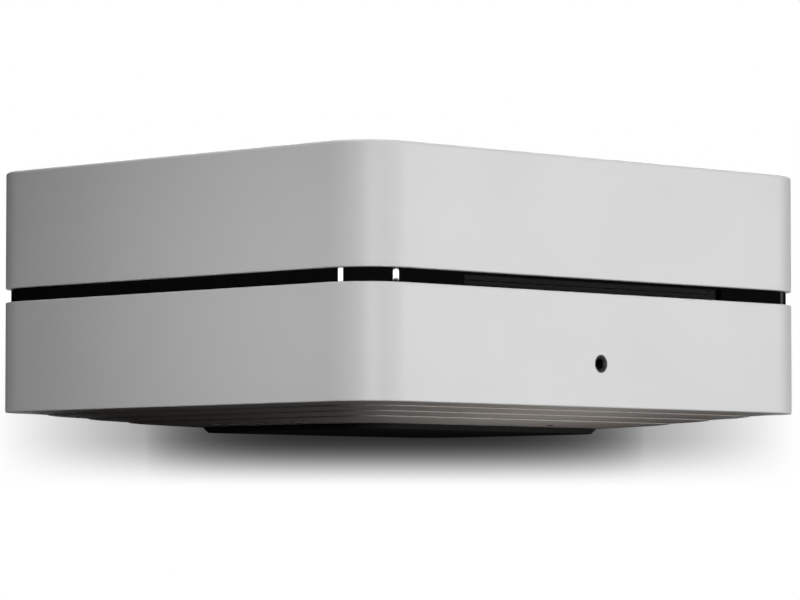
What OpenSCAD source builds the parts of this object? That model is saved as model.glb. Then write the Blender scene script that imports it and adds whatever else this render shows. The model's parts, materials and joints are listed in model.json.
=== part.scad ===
// Network music streamer with a front disc slot: two stacked shells joined by a dark band,
// a stepped base on one rubber foot, and inside a slot-in disc drive, a hard disk and two boards.

/* [Body] */
// Width across the shells
body_w = 220; // [216:1:240]
// Depth from front to back
body_d = 192; // [190:1:212]
// Radius of the upright corners
corner_r = 18; // [17:0.5:21]
// Shell wall thickness
wall = 2.4; // [2:0.1:2.5]
// Inner ledge of the lower shell that rests on the base rim
ledge = 1.2; // [1:0.1:1.3]
// Rounding of the top outer edge
edge_r = 1; // [0.4:0.1:1.6]

/* [Heights] */
// Thickness of the rubber foot
foot_h = 1.8; // [1:0.1:3]
// Drop of the stepped base below the shell edge
pan_drop = 5.2; // [4.6:0.1:6.5]
// Height of the lower shell
lower_h = 38.4; // [38:0.2:44]
// Height of the dark band between the shells
gap_h = 4.7; // [4.5:0.1:6]
// Height of the upper shell
upper_h = 40.9; // [39:0.2:48]

/* [Base] */
// Height of the base rim inside the lower shell
pan_rim = 2.4; // [2:0.1:3]
// Thickness of the base over the foot
pan_floor = 2.2; // [2:0.1:3]
// Distance from the outline to the first riser
step_first = 11.5; // [9:0.5:13]
// Spacing of the risers
step_pitch = 10.7; // [9:0.1:11]
// Height of one riser
step_rise = 0.45; // [0.3:0.05:0.6]
// Distance from the outline to the pocket over the foot
pocket_in = 40; // [38:0.5:42]
// Width of the foot
foot_w = 119; // [110:1:124]
// Depth of the foot
foot_d = 91; // [86:1:96]
// Corner radius of the foot
foot_r = 13; // [8:0.5:16]
// Bevel round the underside of the foot
foot_bevel = 0.8; // [0.3:0.1:0.9]
// Place of the manual release hole across the front
release_x = 22.4; // [20:0.2:25]
// Distance of the release hole from the front face
release_back = 45; // [43:0.5:46]
// Diameter of the release hole
release_d = 2.6; // [2:0.1:3]
// Width of one base vent
vent_w = 2.2; // [1.6:0.1:3]
// Length of one base vent
vent_len = 9; // [6:0.5:10]
// Spacing of the base vents
vent_pitch = 7; // [6:0.5:8]

/* [Band and slot] */
// Recess of the band behind the shell faces
band_in = 1.9; // [1.5:0.1:2.2]
// Thickness of the band
band_t = 2.7; // [2.3:0.1:2.8]
// Height of the spigots that locate the shells
spigot_h = 3; // [2:0.2:3.6]
// Width of the disc slot
slot_w = 127; // [124:0.5:128]
// Height of the disc slot
slot_h = 3.5; // [3:0.1:3.9]
// Slot centre below the middle of the band
slot_drop = 0.25; // [0.1:0.05:0.35]
// Depth of the felt lips
felt_t = 1.4; // [1:0.1:1.8]
// Gap between the felt lips
felt_gap = 0.3; // [0.2:0.1:0.8]
// Open notch at the end of the lips
notch_w = 7; // [3:0.5:9]

/* [Fits] */
// Clearance between fixed pieces that slip together
fit = 0.2; // [0.1:0.05:0.3]
// Radial clearance of a shaft that turns in its hole
run = 0.05; // [0.02:0.01:0.08]
// Air between pieces that move past each other
air = 0.3; // [0.2:0.05:0.35]

/* [Screws] */
// Screw shank diameter
screw_d = 2.9; // [2.5:0.1:3]
// Screw head diameter
head_d = 5.4; // [5:0.1:5.6]
// Screw head height
head_h = 1.6; // [1.2:0.1:1.7]
// Length of the short screws
screw_len = 6; // [5:0.5:7]
// Diameter of the corner posts
boss_d = 8; // [7.4:0.1:8.2]
// Distance of the corner posts from the outline
boss_in = 11.5; // [11.4:0.1:12.5]
// Thickness of the webs that tie the posts to the walls
web_t = 3; // [2:0.2:4]
// Depth of the screw recess under the foot
sink_h = 1.3; // [1.2:0.05:1.4]

/* [Deck] */
// Deck sheet thickness
deck_t = 1.2; // [1:0.1:1.5]
// Half spacing of the pillars across
pillar_x = 40; // [39.5:0.5:41]
// Half spacing of the pillars front to back
pillar_y = 32; // [30:0.5:34]
// Pillar width across corners
pillar_d = 6.4; // [6:0.1:7]

/* [Boards] */
// Board thickness
board_t = 1.6; // [1.2:0.1:2]
// Height of the boards above the base rim
board_lift = 5.2; // [5:0.1:6]
// Left edge of the main board
main_x0 = -34; // [-34:0.5:-33]
// Right edge of the main board from the outline
main_in = 20; // [19.5:0.5:21]
// Right edge of the supply board
psu_x1 = -46; // [-47:0.5:-46]
// Distance of the supply board from the front face
psu_back = 36; // [30:1:40]
// Height of the heat sink on the processor
sink_fin_h = 12; // [8:0.5:14]

/* [Rear bay] */
// Distance of the rear bay from the sides of the body
bay_side = 22; // [21:0.5:23]
// Height of the rear bay
bay_h = 20.4; // [20.2:0.1:20.8]
// Height of the bay above the base rim
bay_lift = 3.2; // [3:0.1:3.3]
// Depth of the bay
bay_in = 8; // [7:0.5:9]
// Thickness of the bay walls
bay_t = 1.6; // [1.4:0.1:1.8]
// Width of the flange behind the rear wall
bay_lip = 2; // [1.6:0.1:2.1]

/* [Sockets] */
// Height of the headphone socket above the shell edge
phones_up = 14.7; // [14:0.1:16]
// Bore of the headphone and control sockets
phones_bore = 3.7; // [3.6:0.05:3.8]
// Ring diameter of the headphone and control sockets
phones_ring = 5.8; // [5.4:0.1:6]
// Depth of the socket bores
phones_deep = 14; // [13:0.5:14.5]
// Outer diameter of the signal socket barrels
rca_d = 8.3; // [8:0.1:8.4]
// Inner diameter of the signal socket barrels
rca_in = 6.4; // [6.2:0.1:6.6]
// Bore of the signal sockets
rca_bore = 3.3; // [3.1:0.1:3.4]
// Spacing of the signal sockets
rca_pitch = 13; // [12.6:0.1:13.2]
// Depth of the signal socket bores
rca_deep = 9; // [8:0.5:10]
// Width of the network plug opening
net_w = 11.8; // [11.6:0.1:12.2]
// Height of the network plug opening
net_h = 8; // [7:0.1:8.4]
// Width and height of the optical plug opening
opt_w = 8; // [7.8:0.1:8.2]
// Swing of the optical shutter
shutter_swing = 82; // [60:1:84]
// Diameter of the mains pins
pin_d = 2.3; // [2.1:0.05:2.4]
// Spacing of the mains pins
pin_pitch = 8.6; // [8.4:0.1:8.8]

/* [Disc drive] */
// Drive width
drive_w = 130; // [129.5:0.5:131]
// Drive depth
drive_d = 137; // [136.8:0.2:139]
// Drive sheet thickness
sheet = 0.8; // [0.6:0.1:0.9]
// Disc plane above the underside of the drive
drive_below = 9.9; // [9.7:0.1:10.4]
// Disc plane below the drive cover
drive_above = 2.7; // [2.6:0.1:3]
// Disc centre behind the drive front
disc_back = 73.6; // [73:0.1:74]
// Turntable diameter
table_d = 29; // [26:0.5:29]
// Centring boss diameter
hub_d = 14.7; // [14.2:0.1:14.8]
// Direction of the sled travel across the drive
travel_a = 135; // [134.5:0.1:135.5]
// Lens radius when the sled is fully in
lens_u = 22; // [22:0.1:22.5]
// Travel of the sled
sled_travel = 34; // [30:0.5:34]
// Hinge of the traverse from the disc centre
hinge_u = 66; // [65.5:0.1:66]
// Drop angle of the traverse
tilt = 2.4; // [2:0.1:2.4]
// Travel of the cam slider
cam_travel = 10; // [8:0.5:10]
// Guide rod diameter
rod_d = 2; // [1.8:0.1:2]
// Tooth module of the plastic gears
gear_m = 0.5; // [0.48:0.01:0.5]
// Loading roller diameter at the ends
roller_d = 5.2; // [4.8:0.1:5.2]
// Loading roller behind the drive front
roller_back = 10.6; // [9.5:0.1:11]
// Disc lever length
lever_len = 46; // [44:0.5:47]
// Swing of the disc levers
lever_swing = 30; // [20:1:31]

/* [Disk unit] */
// Disk width
disk_w = 101.6; // [101:0.1:102]
// Disk length
disk_l = 147; // [146:0.5:147]
// Disk height without its cover
disk_h = 24.9; // [24.6:0.1:25.4]
// Disk platter diameter
platter_d = 95; // [92:0.5:95]
// Swing of the head arm
arm_swing = 37; // [25:1:37]
// Bracket sheet thickness
bracket_t = 1.2; // [1:0.1:1.5]
// Half width of the bracket
bracket_x = 75; // [74:0.5:77]
// Bracket height above the drive cover
bracket_up = 3.6; // [3.4:0.1:4]
// Grommet height
grommet_h = 2.5; // [2.2:0.1:2.6]
// Disk centre in front of the body centre
disk_fore = 6; // [5:0.5:8]

/* [Hidden] */
$fn = 48;
eps = 0.01;
pale = [0.86, 0.86, 0.87];
black = [0.05, 0.05, 0.06];
warm = [0.36, 0.34, 0.32];
steel = [0.70, 0.71, 0.73];
green = [0.10, 0.30, 0.18];
grey = [0.30, 0.30, 0.32];
cream = [0.85, 0.83, 0.76];
gold = [0.80, 0.66, 0.32];

y_front = -body_d / 2;
y_rear = body_d / 2;
z_low = foot_h + pan_drop;
z_rim = z_low + pan_rim;
z_gap = z_low + lower_h;
z_up = z_gap + gap_h;
z_top = z_up + upper_h;
z_pocket = foot_h + pan_floor;
z_slot = z_gap + gap_h / 2 - slot_drop;
z_deck = z_slot - drive_below;
z_under = z_deck - deck_t;
z_board = z_rim + board_lift;
z_parts = z_board + board_t;
head_r = head_d / 2;
screw_r = screw_d / 2;
tap_r = screw_r + run;
pass_r = screw_r + fit;
boss_x = body_w / 2 - boss_in;
boss_y = body_d / 2 - boss_in;
boss_off = (corner_r - boss_in) * sqrt(2);
web_len = corner_r - wall / 2 - boss_off;
band_inner = band_in + band_t;
deck_vent_x = body_w / 2 - 15;

// stepped base: inset and drop of each tread
rim_in = wall + fit;
foot_in = min(body_w - foot_w, body_d - foot_d) / 2;
tread = (pan_drop - 3 * step_rise) / (foot_in - rim_in);
ins = [rim_in, step_first, step_first + step_pitch, step_first + 2 * step_pitch, foot_in - 1];
turn_r = [corner_r - rim_in, corner_r - 3, corner_r - 5.5, corner_r - 8, foot_r + 1];
drops = [for (k = [0:4]) (ins[k] - rim_in) * tread + k * step_rise];

// boards
main_x1 = body_w / 2 - main_in;
main_cx = (main_x0 + main_x1) / 2;
psu_x0 = -main_x1;
main_y0 = y_front + 12;
psu_y0 = y_front + psu_back;
panel_y = y_rear - bay_in;
panel_t = 2;
board_y1 = panel_y - panel_t - 1;
spot_in = 5;
main_spots = [[main_x0 + spot_in, main_y0 + spot_in], [main_x1 - spot_in, main_y0 + spot_in],
    [main_x0 + spot_in, 44], [main_x1 - spot_in, 52]];
psu_spots = [[psu_x0 + spot_in, psu_y0 + spot_in], [psu_x1 - spot_in, psu_y0 + spot_in],
    [psu_x0 + spot_in, 60], [psu_x1 - spot_in, 60]];
board_spots = concat(main_spots, psu_spots);
pillar_spots = [for (x = [-1, 1], y = [-1, 1]) [x * pillar_x, y * pillar_y]];

// rear bay and sockets
bay_w = body_w - 2 * bay_side;
bay_z0 = z_rim + bay_lift;
rca_top = panel_y + bay_in;
rca_x = [for (k = [0:3]) bay_w / 2 - 8 - k * rca_pitch];
rca_z = z_parts + 7.4;
rca_box = 11;
collar_r = rca_box / 2 - 0.7;
panel_screw_z = rca_z + 4.4;
opt_x = rca_x[3] - 14;
net_x = opt_x - 17;
usb_x = net_x - 18;
jack_x = [usb_x - 12, usb_x - 21];
mains_x = (psu_x0 + psu_x1) / 2;
proud = 0.6;
socket_deep = 17;
flat_t = 1.2;
phones_z = z_low + phones_up;
jack_r = phones_bore / 2;
ring_r = phones_ring / 2;

// disc drive
drive_y0 = y_front + band_inner + 0.8;
drive_y1 = drive_y0 + drive_d;
disc_y = drive_y0 + disc_back;
z_floor = z_deck + sheet;
z_seat = z_slot - 0.6;
z_cover = z_slot + drive_above;
tab_half = 4.2;
tab_x = drive_w / 2 + tab_half - 0.2;
tab_spots = [for (x = [-1, 1], y = [drive_y0 + 20, drive_y0 + 120]) [x * tab_x, y]];
plate_t = 1.2;
z_plate = z_seat - 3.4;
z_hinge = z_plate - plate_t / 2;
plate_v = 17.5;
rod_r = rod_d / 2;
rod_v = 11;
z_rod = z_plate + 0.5;
sled_u0 = lens_u - 5;
sled_l = 13;
sled_v = 9;
wing_v = 13.2;
sled_top = z_seat - 0.9;
rack_z = z_plate + 1.3;
rack_h = sled_top - rack_z;
pin_t = 16;
wheel_t = 24;
small_t = 10;
idle_t = 18;
rack_v = plate_v - air;
pinion_r = gear_m * pin_t / 2;
wheel_r = gear_m * wheel_t / 2;
small_r = gear_m * small_t / 2;
idle_r = gear_m * idle_t / 2;
pinion_u = sled_u0 + sled_l;
pinion_v = -(rack_v + pinion_r + run);
motor_v = pinion_v - wheel_r - small_r - run;
cam_u = -21;
cam_drop = (hinge_u - cam_u) * sin(tilt);
cam_t = 1.2;
cam_pin = 0.7;
roller_r = roller_d / 2;
roller_y = drive_y0 + roller_back;
roller_z = z_seat - 0.1 - roller_r;
gear_x = disc_r() + 0.6;
gear_w = 2.8;
idle_z = z_floor + 4.5;
mesh_c = small_r + idle_r + run;
idle_y = roller_y + sqrt(mesh_c * mesh_c - (roller_z - idle_z) * (roller_z - idle_z));
load_z = z_floor + 4.1;
load_y = idle_y + sqrt(mesh_c * mesh_c - (load_z - idle_z) * (load_z - idle_z));
dir_idle = atan2(idle_z - roller_z, idle_y - roller_y);
dir_load = atan2(load_z - idle_z, load_y - idle_y);
idle_phase = mesh_phase(small_t, dir_idle, dir_idle, idle_t);
load_phase = mesh_phase(idle_t, idle_phase, dir_load, small_t);
lever_x = 56;
lever_y = disc_y + 53;
lever_rest = 25;
lever_pin = 1.5;
z_lever = z_cover - 1.3;

// disk unit
z_bridge = z_cover + sheet + bracket_up;
z_disk = z_bridge + bracket_t + grommet_h;
z_lid = z_disk + disk_h;
disk_y0 = -disk_fore - disk_l / 2;
disk_y1 = -disk_fore + disk_l / 2;
platter_y = -disk_fore - 22;
head_x = 22;
head_y = -disk_fore + 34;
arm_len = 48;
arm_dir = atan2(platter_y - head_y, -head_x);
arm_rest = arm_dir - 54;
z_cavity = z_disk + 3.7;
z_arms = [z_cavity + 1.5, z_cavity + 7.5, z_cavity + 15];
grommet_spots = [for (x = [-47.6, 47.6], y = [-32.2, 44]) [x, y - disk_fore]];
foot_spots = [for (x = [-1, 1], y = [-45, 45]) [x * (bracket_x + 5.5), y]];

function disc_r() = 60;
// phase of a gear with nc teeth that meets, in direction dir, a gear with nb teeth at phase pb
function mesh_phase(nb, pb, dir, nc) = dir + 180 + (dir - pb) * nb / nc + 180 / nc;

// plain shapes
module rounded(w, d, r) {
    square([w - 2 * r, d], center = true);
    square([w, d - 2 * r], center = true);
    for (x = [-1, 1], y = [-1, 1])
        translate([x * (w / 2 - r), y * (d / 2 - r)]) circle(r);
}

module outline(inset) {
    rounded(body_w - 2 * inset, body_d - 2 * inset, corner_r - inset);
}

module ring(outer, inner, z0, z1) {
    translate([0, 0, z0]) linear_extrude(z1 - z0) difference() {
        outline(outer);
        outline(inner);
    }
}

// carries a profile round a rounded rectangle, with its x measured from the corner centres
module carried(w, d, r) {
    for (i = [0:3]) {
        along = i % 2 == 0 ? w : d;
        across = i % 2 == 0 ? d : w;
        rotate(90 * i) {
            translate([along / 2 - r, across / 2 - r, 0]) rotate_extrude(angle = 90) children();
            translate([r - along / 2, across / 2 - r, 0]) rotate([90, 0, 90])
                linear_extrude(along - 2 * r) children();
        }
    }
}

module box(x0, x1, y0, y1, z0, z1) {
    translate([x0, y0, z0]) cube([x1 - x0, y1 - y0, z1 - z0]);
}

module rod_y(x, z, y0, y1, r) {
    translate([x, y0, z]) rotate([-90, 0, 0]) cylinder(r = r, h = y1 - y0);
}

module rod_x(y, z, x0, x1, r) {
    translate([x0, y, z]) rotate([0, 90, 0]) cylinder(r = r, h = x1 - x0);
}

module post(p, z0, z1, r) {
    translate([p[0], p[1], z0]) cylinder(r = r, h = z1 - z0);
}

module bar2d(len, w) {
    translate([0, -w / 2]) square([len, w]);
    circle(w / 2);
    translate([len, 0]) circle(w / 2);
}

module gear2d(n, phase) {
    r = gear_m * n / 2;
    step = 360 / n;
    root = r - 1.15 * gear_m;
    tip = r + 0.8 * gear_m;
    polygon([for (k = [0:n - 1]) for (j = [0:3])
        let (a = phase + k * step + step * [-0.24, -0.09, 0.09, 0.24][j],
            q = j == 0 || j == 3 ? root : tip) [q * cos(a), q * sin(a)]]);
}

module screw(len) {
    translate([0, 0, -eps]) cylinder(r = screw_r, h = len + eps);
    translate([0, 0, -head_h]) difference() {
        cylinder(r = head_r, h = head_h);
        for (a = [0, 90])
            rotate(a) translate([-head_r / 2, -0.4, -eps]) cube([head_r, 0.8, head_h / 2]);
    }
}

module screw_down(p, z) {
    translate([p[0], p[1], z]) mirror([0, 0, 1]) screw(screw_len);
}

// shells
module upper_shell() color(pale) {
    post_z0 = z_up + spigot_h + air;
    difference() {
        union() {
            difference() {
                union() {
                    translate([0, 0, z_up]) linear_extrude(upper_h - edge_r) outline(0);
                    translate([0, 0, z_up]) linear_extrude(upper_h) outline(edge_r);
                    translate([0, 0, z_top - edge_r]) carried(body_w, body_d, corner_r)
                        translate([corner_r - edge_r, 0]) circle(edge_r);
                }
                translate([0, 0, z_up - 1]) linear_extrude(upper_h - wall + 1) outline(wall);
            }
            for (x = [-1, 1], y = [-1, 1]) translate([x * boss_x, y * boss_y, 0]) {
                translate([0, 0, z_deck]) cylinder(d = boss_d, h = z_top - wall - z_deck + eps);
                translate([0, 0, post_z0]) rotate(atan2(y, x)) web(z_top - wall - post_z0 + eps);
            }
        }
        for (x = [-1, 1], y = [-1, 1]) translate([x * boss_x, y * boss_y, z_deck - 1])
            cylinder(r = tap_r, h = screw_len + 2);
    }
}

module web(h) {
    start = boss_d / 2 - 0.6;
    translate([start, -web_t / 2, 0]) cube([web_len - start, web_t, h]);
}

module lower_shell() color(pale) {
    difference() {
        union() {
            ring(0, wall, z_low, z_gap);
            ring(wall - eps, wall + ledge, z_rim, z_rim + ledge);
        }
        rod_y(0, phones_z, y_front - 1, y_front + wall + 1, ring_r + fit);
        box(-bay_w / 2, bay_w / 2, y_rear - wall - 1, y_rear + 1, bay_z0, bay_z0 + bay_h);
    }
}

module band_frame() color(black) {
    difference() {
        union() {
            ring(band_in, band_inner, z_gap, z_up);
            ring(wall + fit, band_inner, z_gap - spigot_h, z_up + spigot_h);
        }
        box(-slot_w / 2, slot_w / 2, y_front - 1, y_front + band_inner + 1,
            z_slot - slot_h / 2, z_slot + slot_h / 2);
    }
}

module slot_lips() color(grey) {
    lip_y = y_front + band_in + 0.5;
    for (s = [0, 1]) mirror_z(z_slot, s)
        box(-slot_w / 2, slot_w / 2 - notch_w, lip_y, lip_y + felt_t,
            z_slot + felt_gap / 2, z_slot + slot_h / 2);
}

module mirror_z(z, s) {
    translate([0, 0, z]) mirror([0, 0, s]) translate([0, 0, -z]) children();
}

module base_pan() color(warm) {
    difference() {
        union() {
            for (k = [0:3]) hull() for (e = [0, 1]) {
                zb = z_low - drops[k + e] + e * step_rise;
                translate([0, 0, zb]) linear_extrude(z_rim - zb) rounded(body_w - 2 * ins[k + e],
                    body_d - 2 * ins[k + e], turn_r[k + e], $fn = 32);
            }
            for (p = board_spots) post(p, z_rim - 1, z_board, head_r + 1);
        }
        difference() {
            translate([0, 0, z_pocket]) linear_extrude(z_rim - z_pocket + 1)
                rounded(body_w - 2 * pocket_in, body_d - 2 * pocket_in, corner_r / 2);
            for (p = board_spots) post(p, z_pocket - 1, z_board, head_r + 1);
        }
        for (p = board_spots) post(p, z_board - screw_len, z_board + 1, tap_r);
        for (p = pillar_spots) {
            post(p, 0, z_rim, pass_r);
            post(p, 0, foot_h + sink_h, head_r + fit);
        }
        post([release_x, y_front + release_back], 0, z_rim, release_d / 2);
        for (x = [-1, 1], k = [-3:3]) translate([x * (foot_w / 2 + 5), k * vent_pitch, 0])
            box(-vent_len / 2, vent_len / 2, -vent_w / 2, vent_w / 2, 0, z_rim);
    }
}

module foot_pad() color(black) {
    core = foot_r / 2;
    translate([0, 0, 0]) linear_extrude(foot_h) rounded(foot_w - 2 * core, foot_d - 2 * core, foot_r - core);
    carried(foot_w, foot_d, foot_r) polygon([[foot_r - core - eps, 0], [foot_r - foot_bevel, 0],
        [foot_r, foot_bevel], [foot_r, foot_h], [foot_r - core - eps, foot_h]]);
}

module bay_rim() color(black) {
    ow = bay_w / 2 - fit;
    z0 = bay_z0 + fit;
    z1 = bay_z0 + bay_h - fit;
    y_lip = y_rear - wall;
    difference() {
        union() {
            box(-ow, ow, panel_y, y_rear - proud, z0, z1);
            box(-ow - bay_lip, ow + bay_lip, y_lip - bay_t, y_lip, z0 - bay_lip, z1 + bay_lip);
        }
        box(bay_t - ow, ow - bay_t, panel_y - 1, y_rear + 1, z0 + bay_t, z1 - bay_t);
    }
}

module rear_panel() color(black) {
    ow = bay_w / 2 - fit;
    z0 = bay_z0 + fit;
    z1 = bay_z0 + bay_h - fit;
    cut0 = panel_y - panel_t - 1;
    cut1 = panel_y + 1;
    difference() {
        box(-ow, ow, panel_y - panel_t, panel_y, z0, z1);
        for (x = rca_x) rod_y(x, rca_z, cut0, cut1, collar_r + fit);
        for (x = jack_x) rod_y(x, jack_z(), cut0, cut1, ring_r + fit);
        socket_cut(opt_x, opt_w + 2, opt_w + 2, cut0, cut1);
        socket_cut(net_x, net_w + 4, net_h + 5, cut0, cut1);
        socket_cut(usb_x, 13.2, 5.8, cut0, cut1);
        socket_cut(mains_x, 20, 13.4, cut0, cut1);
        for (x = panel_screws()) rod_y(x, panel_screw_z, cut0, cut1, pass_r);
    }
}

module socket_cut(x, w, h, y0, y1) {
    box(x - w / 2 - fit, x + w / 2 + fit, y0, y1, z_parts - fit, z_parts + h + fit);
}

function jack_z() = z_parts + 5;
function panel_screws() = [(rca_x[0] + rca_x[1]) / 2, (rca_x[2] + rca_x[3]) / 2];

module mid_deck() color(steel) {
    difference() {
        translate([0, 0, z_under]) linear_extrude(deck_t) outline(wall + fit + air);
        for (x = [-1, 1], y = [-1, 1]) post([x * boss_x, y * boss_y], z_under - 1, z_deck + 1, pass_r);
        for (p = concat(pillar_spots, tab_spots, foot_spots)) post(p, z_under - 1, z_deck + 1, tap_r);
        box(cable_x() - 6, cable_x() + 6, cable_y() - 3, cable_y() + 4, z_under - 1, z_deck + 1);
        box(-10, 10, drive_y1 + 0.5, drive_y1 + 6, z_under - 1, z_deck + 1);
        post([release_x, y_front + release_back], z_under - 1, z_deck + 1, release_d);
        for (x = [-1, 1], k = [-2:2])
            box(x * deck_vent_x - 6, x * deck_vent_x + 6, k * 12 - 2, k * 12 + 2, z_under - 1, z_deck + 1);
    }
}

module deck_pillars() color(steel) {
    for (p = pillar_spots) difference() {
        translate([p[0], p[1], z_pocket]) cylinder(d = pillar_d, h = z_under - z_pocket, $fn = 6);
        post(p, z_pocket - 1, z_pocket + 10, tap_r);
        post(p, z_under - 8, z_under + 1, tap_r);
    }
}

module touch_board() color(green) {
    z1 = z_top - wall;
    box(-52, 52, y_front + 24, y_front + 52, z1 - 1, z1);
    for (x = [-30, 0, 30]) box(x - 3, x + 3, y_front + 34, y_front + 40, z1 - 1.8, z1 - 1 + eps);
}

// boards
module main_board() color(green) {
    difference() {
        box(main_x0, main_x1, main_y0, board_y1, z_board, z_parts);
        for (p = main_spots) post(p, z_board - 1, z_parts + 1, pass_r);
        for (y = [-1, 1]) post([pillar_x, y * pillar_y], z_board - 1, z_parts + 1, pillar_d / 2 + 1);
        post([release_x, y_front + release_back], z_board - 1, z_parts + 1, release_d);
    }
}

module board_chips() color(black) {
    box(2, 27, -22, 3, z_parts, z_parts + 1.6);
    for (k = [0:3]) box(main_x0 + 8 + k * 13, main_x0 + 20 + k * 13, -44, -35, z_parts, z_parts + 1.1);
    box(main_x1 - 28, main_x1 - 16, 30, 42, z_parts, z_parts + 1.4);
    for (x = rca_x) box(x - 2.5, x + 2.5, 56, 60, z_parts, z_parts + 1.5);
    box(-14, 4, 22, 36, z_parts, z_parts + 1.4);
}

module soc_heatsink() color(steel) {
    z0 = z_parts + 1.6;
    box(-4, 32, -28, 8, z0, z0 + 2.5);
    for (k = [0:8]) box(-4 + k * 4.3125, -2.5 + k * 4.3125, -28, 8, z0, z0 + sink_fin_h);
}

module capacitors() color(black) {
    for (k = [0:2], y = [2, 14]) post([main_x1 - 10 - 11 * k, y], z_parts, z_parts + 12, 4);
    for (k = [0, 1], y = [-40, -26]) post([main_x1 - 16 - 14 * k, y], z_parts, z_parts + 14, 5);
    post([psu_x0 + 12, -32], z_parts, z_parts + 17, 9);
    for (y = [-44, -32, -20]) post([psu_x1 - 7, y], z_parts, z_parts + 15, 5);
}

module psu_board() color(green) {
    difference() {
        box(psu_x0, psu_x1, psu_y0, board_y1, z_board, z_parts);
        for (p = psu_spots) post(p, z_board - 1, z_parts + 1, pass_r);
    }
}

module psu_transformer() color(gold) {
    x0 = psu_x0 + 11;
    x1 = psu_x1 - 5;
    box(x0, x1, 6, 12, z_parts, z_parts + 15);
    box(x0, x1, 26, 32, z_parts, z_parts + 15);
    box(x0 + 4, x1 - 4, 12 - eps, 26 + eps, z_parts + 2, z_parts + 14);
}

module psu_heatsink() color(steel) {
    x0 = psu_x0 + 3;
    box(x0, x0 + 2, -18, 40, z_parts, z_parts + 17);
    for (k = [0:5]) box(x0 + 2 - eps, x0 + 6, -18 + k * 3.2, -16.5 + k * 3.2, z_parts + 2, z_parts + 17);
}

// sockets
module jack_body(x, z, y_face, side, deep) {
    difference() {
        union() {
            box(x - 4, x + 4, min(y_face + side * 2.6, y_face + side * (deep + 2)),
                max(y_face + side * 2.6, y_face + side * (deep + 2)), z_parts, z + 4);
            rod_y(x, z, min(y_face, y_face + side * 3), max(y_face, y_face + side * 3), ring_r);
        }
        rod_y(x, z, min(y_face - side, y_face + side * deep),
            max(y_face - side, y_face + side * deep), jack_r);
        translate([x, y_face, z]) rotate([side * -90, 0, 0])
            cylinder(r1 = ring_r - 0.4, r2 = jack_r, h = 0.7);
    }
}

module headphone_jack() color(grey) {
    jack_body(0, phones_z, y_front + 0.15, 1, phones_deep);
}

module control_jacks() color(grey) {
    for (x = jack_x) jack_body(x, jack_z(), panel_y + proud, -1, phones_deep);
}

module rca_housings() color(black) {
    y0 = panel_y - panel_t;
    for (k = [0:3]) let (x = rca_x[k]) difference() {
        union() {
            box(x - rca_box / 2, x + rca_box / 2, y0 - 12, y0, z_parts, rca_z + 6.4);
            rod_y(x, rca_z, y0 - 1, panel_y + 1.5, collar_r);
            rod_y(x, rca_z, y0, rca_top - 0.5, rca_in / 2 - run);
        }
        rod_y(x, rca_z, rca_top - 0.5 - rca_deep, rca_top + 1, rca_bore / 2);
        for (s = panel_screws()) rod_y(s, panel_screw_z, y0 - 5, y0 + 1, tap_r);
    }
}

module rca_barrels() color(steel) {
    for (x = rca_x) difference() {
        rod_y(x, rca_z, panel_y + 1.5, rca_top, rca_d / 2);
        rod_y(x, rca_z, panel_y, rca_top + 1, rca_in / 2);
    }
}

module network_socket() color(black) {
    w = net_w / 2 + 2;
    z1 = z_parts + net_h + 5;
    y1 = panel_y + proud;
    difference() {
        box(net_x - w, net_x + w, y1 - socket_deep, y1, z_parts, z1);
        box(net_x - net_w / 2, net_x + net_w / 2, y1 - 13, y1 + 1, z1 - 1.6 - net_h, z1 - 1.6);
        box(net_x - 3, net_x + 3, y1 - 10, y1 + 1, z1 - 4 - net_h, z1 - 1.6);
    }
}

module usb_socket() color(steel) {
    y1 = panel_y + proud;
    difference() {
        box(usb_x - 6.6, usb_x + 6.6, y1 - 14, y1, z_parts, z_parts + 5.8);
        box(usb_x - 6.2, usb_x + 6.2, y1 - 12, y1 + 1, z_parts + 0.4, z_parts + 5.4);
    }
    box(usb_x - 5.6, usb_x + 5.6, y1 - 13, y1 - 1, z_parts + 3.2, z_parts + 5);
}

module optical_socket() color(black) {
    w = opt_w / 2;
    y1 = panel_y + proud;
    z0 = z_parts + 1;
    difference() {
        box(opt_x - w - 1, opt_x + w + 1, y1 - 13, y1, z_parts, z0 + opt_w + 1);
        box(opt_x - w, opt_x + w, y1 - 11, y1 + 1, z0, z0 + opt_w);
        rod_x(shutter_y(), shutter_z(), opt_x - w - 0.7, opt_x + w + 0.7, 0.5 + run);
    }
}

function shutter_y() = panel_y + proud - 1.4;
function shutter_z() = z_parts + 1 + opt_w - 0.9;

module optical_shutter() color(grey) {
    w = opt_w / 2 - air;
    y = shutter_y();
    box(opt_x - w, opt_x + w, y - 0.4, y + 0.4, z_parts + 1 + air, shutter_z());
    rod_x(y, shutter_z(), opt_x - opt_w / 2 - 0.5, opt_x + opt_w / 2 + 0.5, 0.5);
}

module mains_inlet() color(black) {
    y1 = panel_y + proud;
    z = mains_z();
    difference() {
        box(mains_x - 10, mains_x + 10, y1 - 15, y1, z_parts, z_parts + 13.4);
        for (s = [-1, 1]) {
            rod_y(mains_x + s * 4, z, y1 - 12, y1 + 1, 4.2);
            rod_y(mains_x + s * pin_pitch / 2, z, y1 - 16, y1, pin_d / 2 + run);
        }
        box(mains_x - 4, mains_x + 4, y1 - 12, y1 + 1, z - 3.4, z + 4.2);
    }
}

function mains_z() = z_parts + 6.7;

module mains_pins() color(steel) {
    y1 = panel_y + proud;
    for (s = [-1, 1]) {
        rod_y(mains_x + s * pin_pitch / 2, mains_z(), y1 - 20, y1 - 2, pin_d / 2);
        box(mains_x + s * pin_pitch / 2 - 0.8, mains_x + s * pin_pitch / 2 + 0.8, y1 - 20, y1 - 18.4,
            z_parts, mains_z());
    }
}

// disc drive
module on_traverse() {
    translate([0, disc_y, 0]) rotate(travel_a) children();
}

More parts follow.
